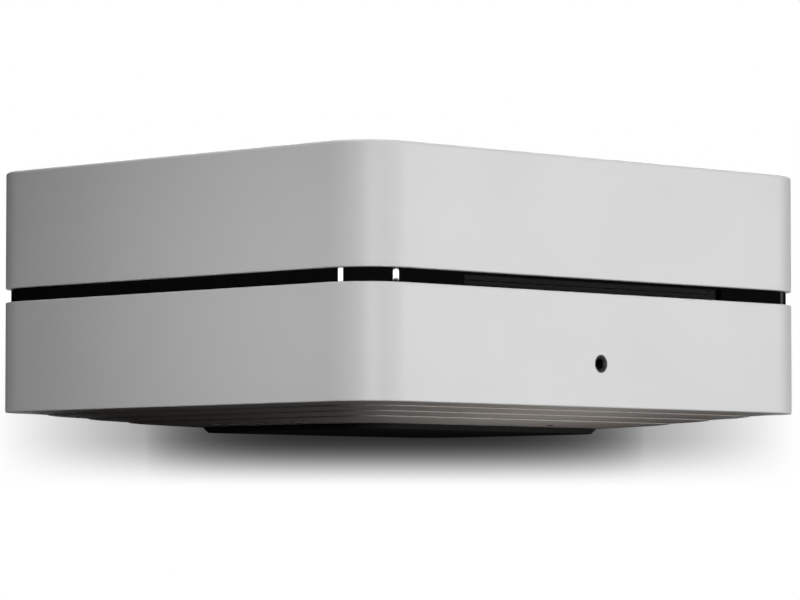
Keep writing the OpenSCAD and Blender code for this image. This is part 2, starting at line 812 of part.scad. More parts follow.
module drive_chassis() color(steel) {
    x1 = drive_w / 2;
    bear = z_seat - 0.6;
    difference() {
        union() {
            box(-x1, x1, drive_y0, drive_y1, z_deck, z_floor);
            for (x = [-x1, x1 - sheet]) box(x, x + sheet, drive_y0, drive_y1, z_deck, z_cover);
            box(-x1, x1, drive_y1 - sheet, drive_y1, z_deck, z_cover);
            box(-x1, x1, drive_y0, drive_y0 + sheet, z_deck, z_seat - 2);
            for (p = tab_spots) box(p[0] - tab_half, p[0] + tab_half, p[1] - tab_half, p[1] + tab_half,
                z_deck, z_floor);
            for (x = [-gear_x, gear_x - 2]) box(x, x + 1.4, roller_y - 3, roller_y + 3, z_deck, bear);
            box(gear_x - 2, gear_x - 0.6, load_y - 4, load_y + 4, z_deck, bear);
            on_traverse() for (v = [-1, 1]) box(hinge_u - 2, hinge_u + 2, v * 19.2 - 1.1, v * 19.2 + 1.1,
                z_deck, z_hinge + 1.8);
            rod_x(idle_y, idle_z, gear_x, x1 - eps, 1);
        }
        rod_x(roller_y, roller_z, -x1 + 1, x1 - 1, 1 + run);
        rod_x(load_y, load_z, gear_x - 3, gear_x, 1.3);
        on_traverse() {
            for (v = [-1, 1]) translate([hinge_u, v * 17.8, z_hinge]) rotate([-90 * v, 0, 0])
                cylinder(r = 0.9 + run, h = 4);
            translate([pinion_u, motor_v, z_deck - 1]) cylinder(r = 9, h = sheet + 2);
        }
        box(gear_x - eps, x1 - sheet - eps, roller_y - 4, load_y + 4, z_deck - 1, z_floor + eps);
        for (p = tab_spots) post(p, z_deck - 1, z_floor + 1, pass_r);
        for (p = pillar_spots) post(p, z_deck - 1, z_floor + 1, head_r + air);
        post([release_x, y_front + release_back], z_deck - 1, z_floor + 1, release_d);
    }
}

module drive_cover() color(steel) {
    difference() {
        box(-drive_w / 2, drive_w / 2, drive_y0, drive_y1, z_cover, z_cover + sheet);
        post([0, disc_y], z_cover - 1, z_cover + 2, 14);
    }
    for (x = [-1, 1]) post([x * lever_x, lever_y], z_lever - 1.2, z_cover + eps, lever_pin);
}

module traverse_deck() color(grey) {
    z0 = z_plate - plate_t;
    on_traverse() difference() {
        union() {
            translate([0, 0, z0]) linear_extrude(plate_t) {
                circle(19);
                translate([0, -plate_v]) square([hinge_u + 2, 2 * plate_v]);
                translate([pinion_u - 9, motor_v - 7]) square([18, 14 - motor_v - plate_v]);
            }
            for (u = [12.5, hinge_u - 1.4], v = [-1, 1])
                box(u, u + 2, v * rod_v - 2, v * rod_v + 2, z_plate - eps, z_rod + rod_r + 0.6);
            for (v = [-1, 1]) translate([hinge_u, v * (plate_v - 1), z_hinge]) rotate([-90 * v, 0, 0])
                cylinder(r = 0.9, h = 3.6);
            translate([cam_u - 1.6, 0, z_hinge]) rotate([0, 90, 0]) cylinder(r = cam_pin, h = 6);
            translate([pinion_u, pinion_v, z_plate - eps]) cylinder(r = 0.8, h = sled_top - z_plate);
        }
        box(sled_u0 - air, hinge_u - 1.4, -wing_v - air, wing_v + air, z0 - 1, z_plate + 1);
        for (v = [-1, 1]) rods(v, rod_r + run);
        translate([pinion_u, motor_v, z0 - 1]) cylinder(r = 0.9, h = plate_t + 2);
        translate([0, 0, z0 - 1]) cylinder(r = 1.6, h = plate_t + 2);
    }
}

module rods(v, r) {
    translate([12.8, v * rod_v, z_rod]) rotate([0, 90, 0]) cylinder(r = r, h = hinge_u - 12.8);
}

module guide_rods() color(steel) {
    on_traverse() for (v = [-1, 1]) rods(v, rod_r);
}

module spindle_stator() color(gold) {
    on_traverse() translate([0, 0, z_plate]) difference() {
        union() {
            cylinder(r = 5, h = 1.4);
            for (k = [0:8]) rotate(k * 40) translate([0, -1.3, 0]) cube([10, 2.6, 1.1]);
        }
        translate([0, 0, -1]) cylinder(r = 1.2 + run, h = 4);
    }
}

module turntable() color(black) {
    on_traverse() {
        translate([0, 0, z_plate + 1.7]) cylinder(d = table_d, h = z_seat - z_plate - 1.7);
        translate([0, 0, z_seat - eps]) cylinder(d = hub_d, h = 1);
        translate([0, 0, z_seat + 1 - 2 * eps]) cylinder(d1 = hub_d, d2 = hub_d - 1.6, h = 0.7);
        translate([0, 0, z_plate - 1]) cylinder(r = 1.2, h = 3);
    }
}

module laser_sled() color(grey) {
    on_traverse() difference() {
        union() {
            box(sled_u0, sled_u0 + sled_l, -sled_v, sled_v, z_plate - 1.7, sled_top);
            box(sled_u0, sled_u0 + sled_l, -wing_v, wing_v, z_rod - rod_r - 0.6, sled_top);
            box(sled_u0, sled_u0 + sled_l, -rack_v + 1, 0, rack_z, sled_top);
            translate([0, 0, rack_z]) linear_extrude(rack_h) rack2d();
        }
        rods(-1, rod_r + run);
        rods(1, rod_r + run);
        box(sled_u0 - 1, sled_u0 + sled_l + 1, rod_v, wing_v + 1, z_rod - rod_r - run, z_rod + rod_r + run);
        box(lens_u - 3.4, lens_u + 3.4, -3.6, 6, z_plate + 0.7, sled_top + 1);
    }
    on_traverse() translate([lens_u, 3.8, z_plate]) cylinder(r = 0.6, h = 2.2);
}

module rack2d() {
    pitch = PI * gear_m;
    back = 23;
    first = -floor((pinion_u - sled_u0 + back) / pitch) + 1;
    translate([sled_u0 - back, -rack_v + 0.55]) square([back + sled_l + 2, 1.5]);
    for (k = [first:1]) translate([pinion_u + k * pitch, -rack_v])
        polygon([[-0.24 * pitch, 0.56], [-0.09 * pitch, -0.8 * gear_m], [0.09 * pitch, -0.8 * gear_m],
            [0.24 * pitch, 0.56]]);
}

module lens_holder() color(black) {
    on_traverse() difference() {
        box(lens_u - 2.8, lens_u + 2.8, -3, 5.2, z_plate + 1.4, sled_top + 0.1);
        translate([lens_u, 3.8, z_plate]) cylinder(r = 0.6 + run, h = 5);
        translate([lens_u, 0, sled_top - 0.6]) cylinder(r = 2.2 + run, h = 2);
    }
}

module objective_lens() color([0.6, 0.7, 0.9]) {
    on_traverse() translate([lens_u, 0, sled_top - 0.6]) {
        cylinder(r = 2.2, h = 0.7);
        cylinder(r = 1.5, h = 0.9);
    }
}

module sled_pinion() color(cream) {
    on_traverse() translate([pinion_u, pinion_v, 0]) difference() {
        union() {
            translate([0, 0, rack_z]) linear_extrude(rack_h) gear2d(pin_t, 90 + 180 / pin_t);
            translate([0, 0, z_plate + fit]) linear_extrude(0.9) gear2d(wheel_t, 270);
            translate([0, 0, z_plate + fit]) cylinder(r = 2, h = rack_z - z_plate);
        }
        translate([0, 0, z_plate - 1]) cylinder(r = 0.8 + run, h = 5);
    }
}

module sled_motor() color(steel) {
    on_traverse() translate([pinion_u, motor_v, z_plate - plate_t - 2.3]) difference() {
        cylinder(r = 6, h = 2.3);
        translate([0, 0, 0.6]) cylinder(r = 0.5 + run, h = 3);
    }
}

module sled_motor_gear() color(cream) {
    on_traverse() translate([pinion_u, motor_v, 0]) {
        translate([0, 0, z_plate + fit]) linear_extrude(0.9)
            gear2d(small_t, mesh_phase(wheel_t, 270, 270, small_t));
        translate([0, 0, z_plate - plate_t - 1.5]) cylinder(r = 0.5, h = plate_t + 2);
    }
}

module cam_slider() color(cream) {
    slope = atan2(cam_drop, cam_travel);
    h0 = z_floor + air;
    on_traverse() {
        translate([cam_u - cam_t, 0, 0]) rotate([90, 0, 90]) linear_extrude(cam_t) difference() {
            translate([-cam_travel - 5, h0]) square([cam_travel + 10, z_seat - 0.6 - h0]);
            translate([0, z_hinge]) rotate(slope) mirror([1, 0])
                bar2d(cam_travel / cos(slope), 2 * cam_pin + air);
        }
        box(cam_u - cam_t - 2, cam_u - cam_t + eps, 2, 14.6, h0, h0 + 1);
        box(-45, cam_u - cam_t - 2 + eps, 9.6, 14.6, h0, h0 + 1);
    }
}

module loading_roller() color(black) {
    for (s = [0, 1]) mirror([s, 0, 0]) translate([0, roller_y, roller_z]) rotate([0, 90, 0]) difference() {
        cylinder(r1 = roller_r - 0.4, r2 = roller_r, h = gear_x - 4);
        translate([0, 0, -1]) cylinder(r = 1 + run, h = gear_x);
    }
}

module roller_shaft() color(steel) {
    rod_x(roller_y, roller_z, -gear_x - 0.6, gear_x + gear_w, 1);
    translate([gear_x, roller_y, roller_z]) rotate([90, 0, 90]) linear_extrude(gear_w)
        gear2d(small_t, dir_idle);
}

module loading_idler() color(cream) {
    translate([gear_x + 0.2, idle_y, idle_z]) rotate([90, 0, 90]) linear_extrude(gear_w - 0.4) difference() {
        gear2d(idle_t, idle_phase);
        circle(1 + run);
    }
}

module loading_motor() color(steel) {
    x1 = gear_x - 2;
    difference() {
        rod_x(load_y, load_z, x1 - 16, x1, 3.8);
        rod_x(load_y, load_z, x1 - 6, x1 + 1, 0.75 + run);
    }
}

module loading_motor_gear() color(cream) {
    rod_x(load_y, load_z, gear_x - 7, gear_x + gear_w - 0.2, 0.75);
    translate([gear_x + 0.2, load_y, load_z]) rotate([90, 0, 90]) linear_extrude(gear_w - 0.4)
        gear2d(small_t, load_phase);
}

module lever() {
    translate([lever_x, lever_y, z_lever]) rotate(-90 - lever_rest) {
        linear_extrude(0.8) difference() {
            bar2d(lever_len, 6);
            circle(lever_pin + run);
        }
        translate([lever_len, 0, z_seat - 0.5 - z_lever]) cylinder(r = 1.2, h = z_lever - z_seat + 0.6);
    }
}

module left_lever() color(cream) {
    mirror([1, 0, 0]) lever();
}

module right_lever() color(cream) {
    lever();
}

// disk unit
module hdd_bracket() color(steel) {
    y1 = 58;
    difference() {
        union() {
            box(-bracket_x, bracket_x, -y1, y1, z_bridge, z_bridge + bracket_t);
            for (s = [0, 1]) mirror([s, 0, 0]) {
                box(bracket_x - bracket_t, bracket_x, -y1, y1, z_deck, z_bridge + eps);
                box(bracket_x - eps, bracket_x + 11, -y1, y1, z_deck, z_deck + bracket_t);
            }
        }
        for (p = foot_spots) post(p, z_deck - 1, z_deck + 3, pass_r);
        for (p = grommet_spots) post(p, z_bridge - 1, z_bridge + 3, pass_r);
        for (y = [-20, 22]) box(-34, 34, y - 14, y + 14, z_bridge - 1, z_bridge + 3);
        for (s = [-1, 1], y = [-22, 22])
            box(s * bracket_x - 2, s * bracket_x + 2, y - 12, y + 12, z_deck + 5, z_bridge - 4);
    }
}

module hdd_grommets() color(black) {
    for (p = grommet_spots) difference() {
        post(p, z_bridge + bracket_t, z_disk, 3.2);
        post(p, z_bridge, z_disk + 1, pass_r);
    }
}

module hdd_base() color(grey) {
    difference() {
        box(-disk_w / 2, disk_w / 2, disk_y0, disk_y1, z_disk, z_lid);
        translate([0, 0, z_cavity]) linear_extrude(disk_h) {
            translate([0, platter_y]) circle(platter_d / 2 + 1.1);
            translate([-46, platter_y]) square([92, 88]);
        }
        for (p = grommet_spots) post(p, z_disk - 1, z_disk + screw_len - grommet_h, tap_r);
    }
    post([0, platter_y], z_cavity - eps, z_lid - 2, 3);
    post([head_x, head_y], z_cavity - eps, z_lid - 2, 2.5);
}

module hdd_cover() color(steel) {
    difference() {
        box(-disk_w / 2, disk_w / 2, disk_y0, disk_y1, z_lid, z_lid + 1.2);
        translate([0, platter_y, z_lid + 0.8]) difference() {
            cylinder(r = 44, h = 1);
            translate([0, 0, -1]) cylinder(r = 20, h = 3);
        }
    }
}

module hdd_platters() color(steel) {
    difference() {
        union() {
            post([0, platter_y], z_cavity + air, z_cavity + 18, 15);
            for (z = [z_cavity + 4, z_cavity + 12]) post([0, platter_y], z, z + 1.3, platter_d / 2);
        }
        post([0, platter_y], z_cavity - 1, z_lid, 3 + run);
    }
}

module hdd_actuator() color(gold) {
    translate([head_x, head_y, 0]) rotate(arm_rest) difference() {
        union() {
            post([0, 0], z_cavity + 0.6, z_cavity + 17, 6);
            for (z = z_arms) translate([0, 0, z]) linear_extrude(1.4)
                polygon([[0, -5], [arm_len, -1.2], [arm_len, 1.2], [0, 5]]);
            translate([0, 0, z_arms[1]]) linear_extrude(2.4)
                polygon([[-4, -4], [-18, -8], [-18, 8], [-4, 4]]);
        }
        post([0, 0], z_cavity - 1, z_lid, 2.5 + run);
    }
}

module hdd_magnet() color(steel) {
    a0 = arm_rest + 180 - 26;
    sweep = arm_swing + 50;
    translate([head_x, head_y, 0]) rotate(a0) {
        for (z = [z_cavity, z_cavity + 12.5]) translate([0, 0, z])
            rotate_extrude(angle = sweep) translate([9, 0]) square([14, 2.5]);
        for (a = [4, sweep - 4]) rotate(a) post([21.5, 0], z_cavity, z_cavity + 15, 1.4);
    }
}

module hdd_board() color(green) {
    box(-38, 38, disk_y0 + 3, disk_y0 + 103, z_disk - 1.2, z_disk);
}

// cables
function cable_x() = 30;
function cable_y() = panel_y + proud - socket_deep - 4.5;

module hdd_cable() color(black) {
    x = cable_x();
    y = cable_y();
    y_up = disk_y1 + 3;
    jog = z_deck + 8;
    box(x - 4, x + 4, y, y + flat_t, z_parts + 6, jog + flat_t);
    box(x - 4, x + 4, min(y, y_up), max(y, y_up) + flat_t, jog, jog + flat_t);
    box(x - 4, x + 4, y_up, y_up + flat_t, jog, z_disk + 8);
    box(x - 4, x + 4, disk_y1 + 2, y_up + flat_t, z_disk + 7, z_disk + 7 + flat_t);
    box(x - 5, x + 5, disk_y1, disk_y1 + 2.5, z_disk + 4, z_disk + 10);
    box(x - 4.8, x + 4.8, y - 2, y + 3, z_parts, z_parts + 6.5);
}

module drive_ribbon() color(cream) {
    y = drive_y1 + 2.5;
    box(-8, 8, y, y + 0.4, z_parts + 3, z_floor + 3);
    box(-8, 8, drive_y1 + 1, y + 0.4, z_floor + 2.6, z_floor + 3);
    box(-9, 9, drive_y1, drive_y1 + 1.5, z_floor + 1.6, z_floor + 4);
    box(-9, 9, y - 1.5, y + 2, z_parts, z_parts + 3.5);
}

module psu_harness() color(gold) {
    x0 = psu_x1 - 4;
    x1 = main_x0 + 4;
    r = (x1 - x0) / 2;
    for (y = [-3, -1, 1, 3]) translate([(x0 + x1) / 2, y, z_parts + 4]) rotate([90, 0, 0])
        rotate_extrude(angle = 180) translate([r, 0]) circle(0.7);
    for (x = [x0, x1]) box(x - 2.5, x + 2.5, -5, 5, z_parts, z_parts + 5);
}

// fasteners
module short_screws() color(steel) {
    for (x = [-1, 1], y = [-1, 1]) translate([x * boss_x, y * boss_y, z_under]) screw(screw_len);
    for (p = board_spots) screw_down(p, z_parts);
    for (p = pillar_spots) screw_down(p, z_deck);
    for (p = tab_spots) screw_down(p, z_floor);
    for (p = foot_spots) screw_down(p, z_deck + bracket_t);
    for (p = grommet_spots) translate([p[0], p[1], z_bridge]) screw(screw_len);
    for (p = pillar_spots) translate([p[0], p[1], foot_h + sink_h]) pan_screw();
    for (x = panel_screws()) translate([x, panel_y, panel_screw_z]) rotate([90, 0, 0]) screw(screw_len);
}

module pan_screw() {
    translate([0, 0, -eps]) cylinder(r = screw_r, h = screw_len + 2);
    translate([0, 0, -1.1]) cylinder(r = head_r, h = 1.1);
}

upper_shell();
lower_shell();
band_frame();
slot_lips();
base_pan();
foot_pad();
bay_rim();
rear_panel();
mid_deck();
deck_pillars();
touch_board();
main_board();
board_chips();
soc_heatsink();
capacitors();
psu_board();
psu_transformer();
psu_heatsink();
mains_inlet();
mains_pins();
headphone_jack();
control_jacks();
rca_housings();
rca_barrels();
network_socket();
usb_socket();
optical_socket();
optical_shutter();
drive_chassis();
drive_cover();
traverse_deck();
guide_rods();
spindle_stator();
turntable();
laser_sled();
lens_holder();
objective_lens();
sled_pinion();
sled_motor();
sled_motor_gear();
cam_slider();
loading_roller();
roller_shaft();
loading_idler();
loading_motor();
loading_motor_gear();
left_lever();
right_lever();
hdd_bracket();
hdd_grommets();
hdd_base();
hdd_cover();
hdd_platters();
hdd_actuator();
hdd_magnet();
hdd_board();
hdd_cable();
drive_ribbon();
psu_harness();
short_screws();
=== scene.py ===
"""Looks of a network music streamer with a front disc slot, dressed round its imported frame.

Lengths in the classes are millimetres in the frame's own axes: +Z up, -Y out of the front face.
"""

import json
import logging
import math
from dataclasses import dataclass, field
from enum import Enum
from typing import Any, Iterable, Sequence

import bmesh
import bpy
import numpy as np
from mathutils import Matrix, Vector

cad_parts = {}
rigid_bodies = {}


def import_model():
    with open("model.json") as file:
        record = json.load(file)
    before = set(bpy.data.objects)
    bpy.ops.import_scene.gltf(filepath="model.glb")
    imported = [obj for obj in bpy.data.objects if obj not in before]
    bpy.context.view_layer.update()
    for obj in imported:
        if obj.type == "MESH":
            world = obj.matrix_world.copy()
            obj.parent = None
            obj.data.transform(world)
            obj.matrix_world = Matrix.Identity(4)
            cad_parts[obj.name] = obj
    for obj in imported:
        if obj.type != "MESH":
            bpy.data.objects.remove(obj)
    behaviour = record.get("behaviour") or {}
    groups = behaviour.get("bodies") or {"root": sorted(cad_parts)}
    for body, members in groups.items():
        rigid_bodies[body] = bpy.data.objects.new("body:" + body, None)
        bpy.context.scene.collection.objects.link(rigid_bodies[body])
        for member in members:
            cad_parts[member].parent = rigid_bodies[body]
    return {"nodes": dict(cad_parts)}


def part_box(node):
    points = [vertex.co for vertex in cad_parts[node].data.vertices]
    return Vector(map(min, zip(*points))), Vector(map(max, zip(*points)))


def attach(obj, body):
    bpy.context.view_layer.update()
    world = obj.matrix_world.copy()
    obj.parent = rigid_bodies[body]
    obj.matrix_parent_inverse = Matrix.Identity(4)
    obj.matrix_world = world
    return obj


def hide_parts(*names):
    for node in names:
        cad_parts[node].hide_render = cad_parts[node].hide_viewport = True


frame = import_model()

MM = 0.001
CASE = "case"
# Phono pairs along X, and the distance within which a new piece's points are merged, in metres.
PAIR_PITCH = 0.026
PAIR_START = 0.0345
MERGE = 0.5e-6
LOG = logging.getLogger("streamer")
Pair = tuple[float, float]
Triple = tuple[float, float, float]
Gap = tuple[int, int, int, int]
Socket = bpy.types.NodeSocket
# Painted shade: the near-black colour painted into a small hole and the vents in place of the shadow inside
# them.
PAINTED_HOLE_SHADE = (0.004, 0.004, 0.004, 1.0)


class Side(Enum):
    """A straight side of the rounded outline, in the order in which the outline runs past it."""

    REAR = 0
    LEFT = 1
    FRONT = 2
    RIGHT = 3


class Share(Enum):
    """Which part of a lamp's light is used: all of it, only its reflections, or all but those."""

    WHOLE = "whole"
    GLINTS = "glints"
    MATT = "matt"


class Pattern(Enum):
    """What a finish shows when it is looked at closely."""

    MOTTLE = "mottle"
    BRUSHED = "brushed"
    FELT = "felt"
    BOARD = "board"
    COLLARS = "collars"
    TURNED = "turned"


def box_mm(node: str) -> tuple[np.ndarray, np.ndarray]:
    """Gives a frame node's lowest and highest corners.

    Args:
        node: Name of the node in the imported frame.

    Returns:
        The two corners in millimetres.
    """
    low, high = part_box(node)
    return np.array(low) / MM, np.array(high) / MM


class Sheet:
    """A node tree of a material or of the background, with short calls to add and join nodes."""

    def __init__(self, tree: bpy.types.NodeTree) -> None:
        """Works on a node tree."""
        self.tree = tree

    @classmethod
    def material(cls, name: str) -> tuple["Sheet", bpy.types.Material]:
        """Starts a material that holds one principled shader.

        Args:
            name: Name of the material.

        Returns:
            The material's node tree and the material.
        """
        made = bpy.data.materials.new(name)
        made.use_nodes = True
        return cls(made.node_tree), made

    def add(self, kind: str, inputs: dict[Any, Any], **settings: Any) -> bpy.types.NodeOutputs:
        """Adds a node.

        Args:
            kind: Blender's type name of the node, without its first part.
            inputs: Values or sockets for the node's inputs, by name or index.
            settings: Values for the node's own properties.

        Returns:
            The new node's outputs.
        """
        node = self.tree.nodes.new(f"ShaderNode{kind}")
        for key, value in settings.items():
            setattr(node, key, value)
        for key, value in inputs.items():
            self.feed(node.inputs[key], value)
        return node.outputs

    def feed(self, socket: Socket, value: Any) -> None:
        """Sets an input socket, or links it where the value is a socket.

        Args:
            socket: The input socket.
            value: A constant, or the output socket to link.
        """
        if isinstance(value, Socket):
            self.tree.links.new(value, socket)
        else:
            socket.default_value = value

    def place(self, stretch: Sequence[float] = (1.0, 1.0, 1.0)) -> Socket:
        """Gives the piece's own coordinates, times a factor along each axis."""
        return self.add("Mapping", {0: self.add("TexCoord", {})["Object"], 3: stretch})[0]

    def noise(self, where: Socket, scale: float, detail: float) -> Socket:
        """Gives cloudy noise between 0 and 1 at a number of features per metre."""
        return self.add("TexNoise", {"Vector": where, "Scale": scale, "Detail": detail})["Fac"]

    def blend(self, share: Any, first: Any, second: Any) -> Socket:
        """Gives a colour between two colours."""
        return self.add("Mix", {0: share, 6: first, 7: second}, data_type="RGBA")[2]

    def spread(self, value: Socket, low: float, high: float, start: float = 0.3, end: float = 0.7,
               smooth: bool = False) -> Socket:
        """Maps a value's range from start to end onto the range from low to high."""
        limits = dict(enumerate((value, start, end, low, high)))
        return self.add("MapRange", limits, interpolation_type="SMOOTHSTEP" if smooth else "LINEAR")[0]

    def math(self, operation: str, first: Any, second: Any = 0.0, third: Any = 0.0) -> Socket:
        """Gives the result of one sum."""
        return self.add("Math", {0: first, 1: second, 2: third}, operation=operation)[0]


@dataclass(frozen=True)
class Finish:
    """A surface finish: two near colours, a range of roughness and a fine relief.

    Scales are features per metre and relief is the height of the bump in metres.
    """

    name: str
    colour: Triple
    tint: Triple
    rough: Pair
    pattern: Pattern = Pattern.MOTTLE
    scale: float = 900.0
    relief: float = 0.000004
    metal: float = 0.0
    coat: float = 0.0
    sheen: float = 0.0
    specular: float = 0.5
    # Painted shade: a small hole's mouth as X, Y and radius, and vent wells as reach along X and Y, slope and
    # level, where the colour turns near black in place of the shadow inside them.
    mouth: Triple | None = None
    shaded_wells: tuple[float, float, float, float] | None = None

    def material(self) -> bpy.types.Material:
        """Gives the finish's material and builds it the first time.

        Returns:
            The material, shared by all pieces with this finish.
        """
        made = bpy.data.materials.get(self.name)
        if made is not None:
            return made
        sheet, made = Sheet.material(self.name)
        shader = sheet.tree.nodes["Principled BSDF"].inputs
        shader["Metallic"].default_value = self.metal
        shader["Coat Weight"].default_value = self.coat
        shader["Coat Roughness"].default_value = 0.03
        shader["Sheen Weight"].default_value = self.sheen
        shader["Specular IOR Level"].default_value = self.specular
        share, height = self.grain(sheet)
        colour = sheet.blend(share, (*self.colour, 1.0), (*self.tint, 1.0))
        sheet.feed(shader["Base Color"], self.colours(sheet, colour))
        sheet.feed(shader["Roughness"], sheet.spread(share, *self.rough))
        bump = sheet.add("Bump", {"Height": height, "Distance": self.relief, "Strength": 1.0})
        sheet.feed(shader["Normal"], bump[0])
        return made

    def grain(self, sheet: Sheet) -> tuple[Socket, Socket]:
        """Builds the finish's pattern.

        Args:
            sheet: Node tree that takes the nodes.

        Returns:
            The share of the second colour and the height of the relief.
        """
        if self.pattern is Pattern.BRUSHED:
            lines = sheet.noise(sheet.place((0.04, 1.0, 1.0)), self.scale, 3.0)
            return lines, lines
        if self.pattern is Pattern.FELT:
            streaks = sheet.noise(sheet.place((0.05, 0.6, 1.0)), self.scale * 0.5, 4.0)
            fibres = sheet.noise(sheet.place((0.35, 1.0, 1.0)), self.scale * 4.0, 6.0)
            return sheet.math("MULTIPLY_ADD", streaks, 0.6, 0.2), fibres
        where = sheet.place()
        if self.pattern is Pattern.BOARD:
            bricks = sheet.add("TexBrick", {
                "Vector": where, "Scale": self.scale, "Mortar Size": 0.08, "Color1": (0.2, 0.2, 0.2, 1.0),
                "Color2": (0.5, 0.5, 0.5, 1.0), "Mortar": (1.0, 1.0, 1.0, 1.0)})
            return bricks["Color"], bricks["Fac"]
        if self.pattern is Pattern.COLLARS:
            across = sheet.add("SeparateXYZ", {0: where})[0]
            pairs = sheet.math("MULTIPLY_ADD", across, 1.0 / PAIR_PITCH, -PAIR_START / PAIR_PITCH)
            second = sheet.math("GREATER_THAN", sheet.math("FRACT", pairs), 0.5)
            return second, sheet.noise(where, self.scale, 3.0)
        if self.pattern is Pattern.TURNED:
            rings = sheet.noise(where, self.scale, 2.0)
            return rings, rings
        clouds = sheet.noise(where, self.scale * 0.03, 3.0)
        return clouds, sheet.noise(where, self.scale, 4.0)

    def colours(self, sheet: Sheet, colour: Socket) -> Socket:
        """Gives the colour that the shader takes, with painted shade in a small hole's mouth and in wells.

        The painted shade stands in for the shadow inside the hole and the vents. A mouth is a round spot at X
        and Y. Wells lie within a reach along X and Y, above a plane that rises with the distance from the
        middle.

        Args:
            sheet: Node tree that takes the nodes.
            colour: Triple of the rest of the piece.

        Returns:
            The colour socket.
        """
        # Painted shade in the vent wells: near black above a plane that rises with the distance from the
        # middle.
        if self.shaded_wells is not None:
            x_reach, y_reach, slope, level = self.shaded_wells
            apart = sheet.add("SeparateXYZ", {0: sheet.place()})
            x, y = sheet.math("ABSOLUTE", apart[0]), sheet.math("ABSOLUTE", apart[1])
            above = sheet.math("GREATER_THAN", sheet.math("MULTIPLY_ADD", x, -slope, apart[2]), level)
            near = sheet.math("MULTIPLY", sheet.math("LESS_THAN", x, x_reach),
                              sheet.math("LESS_THAN", y, y_reach))
            colour = sheet.blend(sheet.math("MULTIPLY", above, near), colour, PAINTED_HOLE_SHADE)
        if self.mouth is None:
            return colour
        # Painted shade in the small hole's mouth: near black within the radius, fading out just beyond it.
        x, y, radius = self.mouth
        spot = {0: sheet.place((1.0, 1.0, 0.0)), 1: (x, y, 0.0)}
        away = sheet.add("VectorMath", spot, operation="DISTANCE")["Value"]
        return sheet.blend(sheet.spread(away, 0.0, 1.0, radius, radius * 1.3), PAINTED_HOLE_SHADE, colour)


PALE_SHELL = Finish("pale_shell", (0.80, 0.80, 0.805), (0.765, 0.765, 0.77), (0.455, 0.475), relief=0.000003)
GLOSS_BAND = Finish("gloss_band", (0.004, 0.004, 0.0045), (0.006, 0.006, 0.006), (0.010, 0.025),
                    relief=0.0000002)
SLOT_FELT = Finish("slot_felt", (0.003, 0.003, 0.003), (0.012, 0.012, 0.012), (0.85, 1.0), Pattern.FELT,
                   scale=1500.0, relief=0.00006, sheen=0.05, specular=0.12)
# The warm base has painted shade in its release hole's mouth and in its vents.
WARM_BASE = Finish("warm_base", (0.62, 0.575, 0.535), (0.57, 0.525, 0.49), (0.38, 0.48), relief=0.000003,
                   mouth=(0.0224, -0.051, 0.00145), shaded_wells=(0.070, 0.0225, 0.0804, -0.00288))
RUBBER = Finish("black_rubber", (0.012, 0.0115, 0.011), (0.018, 0.0175, 0.017), (0.78, 0.92), relief=0.00002,
                specular=0.2)
BLACK_PLASTIC = Finish("black_plastic", (0.012, 0.012, 0.013), (0.02, 0.02, 0.021), (0.38, 0.52),
                       relief=0.000008)
GREY_PLASTIC = Finish("grey_plastic", (0.05, 0.05, 0.052), (0.07, 0.07, 0.072), (0.30, 0.42), relief=0.000005)
SOCKET_RING = Finish("socket_ring", (0.016, 0.016, 0.017), (0.022, 0.022, 0.023), (0.40, 0.50),
                     relief=0.000005, specular=0.25)
CREAM_PLASTIC = Finish("cream_plastic", (0.70, 0.66, 0.55), (0.62, 0.58, 0.48), (0.35, 0.5), relief=0.000005)
SHEET_STEEL = Finish("sheet_steel", (0.56, 0.57, 0.58), (0.46, 0.47, 0.48), (0.28, 0.42), Pattern.BRUSHED,
                     metal=1.0)
BRIGHT_STEEL = Finish("bright_steel", (0.66, 0.66, 0.66), (0.58, 0.58, 0.58), (0.15, 0.25), Pattern.TURNED,
                      metal=1.0)
CAST_ALLOY = Finish("cast_alloy", (0.36, 0.36, 0.37), (0.28, 0.28, 0.29), (0.45, 0.6), relief=0.00002,
                    metal=0.8)
GOLD_PLATE = Finish("gold_plate", (0.83, 0.60, 0.24), (0.74, 0.52, 0.20), (0.18, 0.28), Pattern.TURNED,
                    metal=1.0)
COPPER_WIRE = Finish("copper_wire", (0.55, 0.22, 0.10), (0.45, 0.17, 0.08), (0.25, 0.4), Pattern.TURNED,
                     metal=0.9)
GREEN_BOARD = Finish("green_board", (0.012, 0.065, 0.03), (0.03, 0.13, 0.06), (0.25, 0.35), Pattern.BOARD,
                     scale=180.0, relief=0.00002)
LENS_GLASS = Finish("lens_glass", (0.30, 0.38, 0.60), (0.24, 0.30, 0.52), (0.02, 0.04), coat=1.0)
PHONO_INSERT = Finish("phono_insert", (0.74, 0.73, 0.70), (0.42, 0.012, 0.014), (0.32, 0.42), Pattern.COLLARS,
                      scale=1200.0)
AMBER_TAPE = Finish("amber_tape", (0.62, 0.40, 0.08), (0.52, 0.32, 0.06), (0.3, 0.45))


def add_object(name: str, data: bpy.types.ID) -> bpy.types.Object:
    """Makes an object at the origin and links it to the scene.

    Args:
        name: Name of the object.
        data: Its mesh, camera or lamp.

    Returns:
        The new object.
    """
    made = bpy.data.objects.new(name, data)
    bpy.context.scene.collection.objects.link(made)
    return made


def mend(mesh: bpy.types.Mesh, apart: float, flat: float = 0.0) -> None:
    """Merges a mesh's double points, turns its faces outwards and shades it smooth.

    Args:
        mesh: Mesh to mend.
        apart: Distance in metres within which points are merged.
        flat: Angle in degrees under which neighbouring faces become one, or 0 to keep all faces.
    """
    work = bmesh.new()
    work.from_mesh(mesh)
    bmesh.ops.remove_doubles(work, verts=work.verts, dist=apart)
    if flat:
        bmesh.ops.dissolve_limit(work, angle_limit=math.radians(flat), verts=work.verts, edges=work.edges)
    bmesh.ops.recalc_face_normals(work, faces=work.faces)
    work.to_mesh(mesh)
    work.free()
    mesh.shade_smooth()


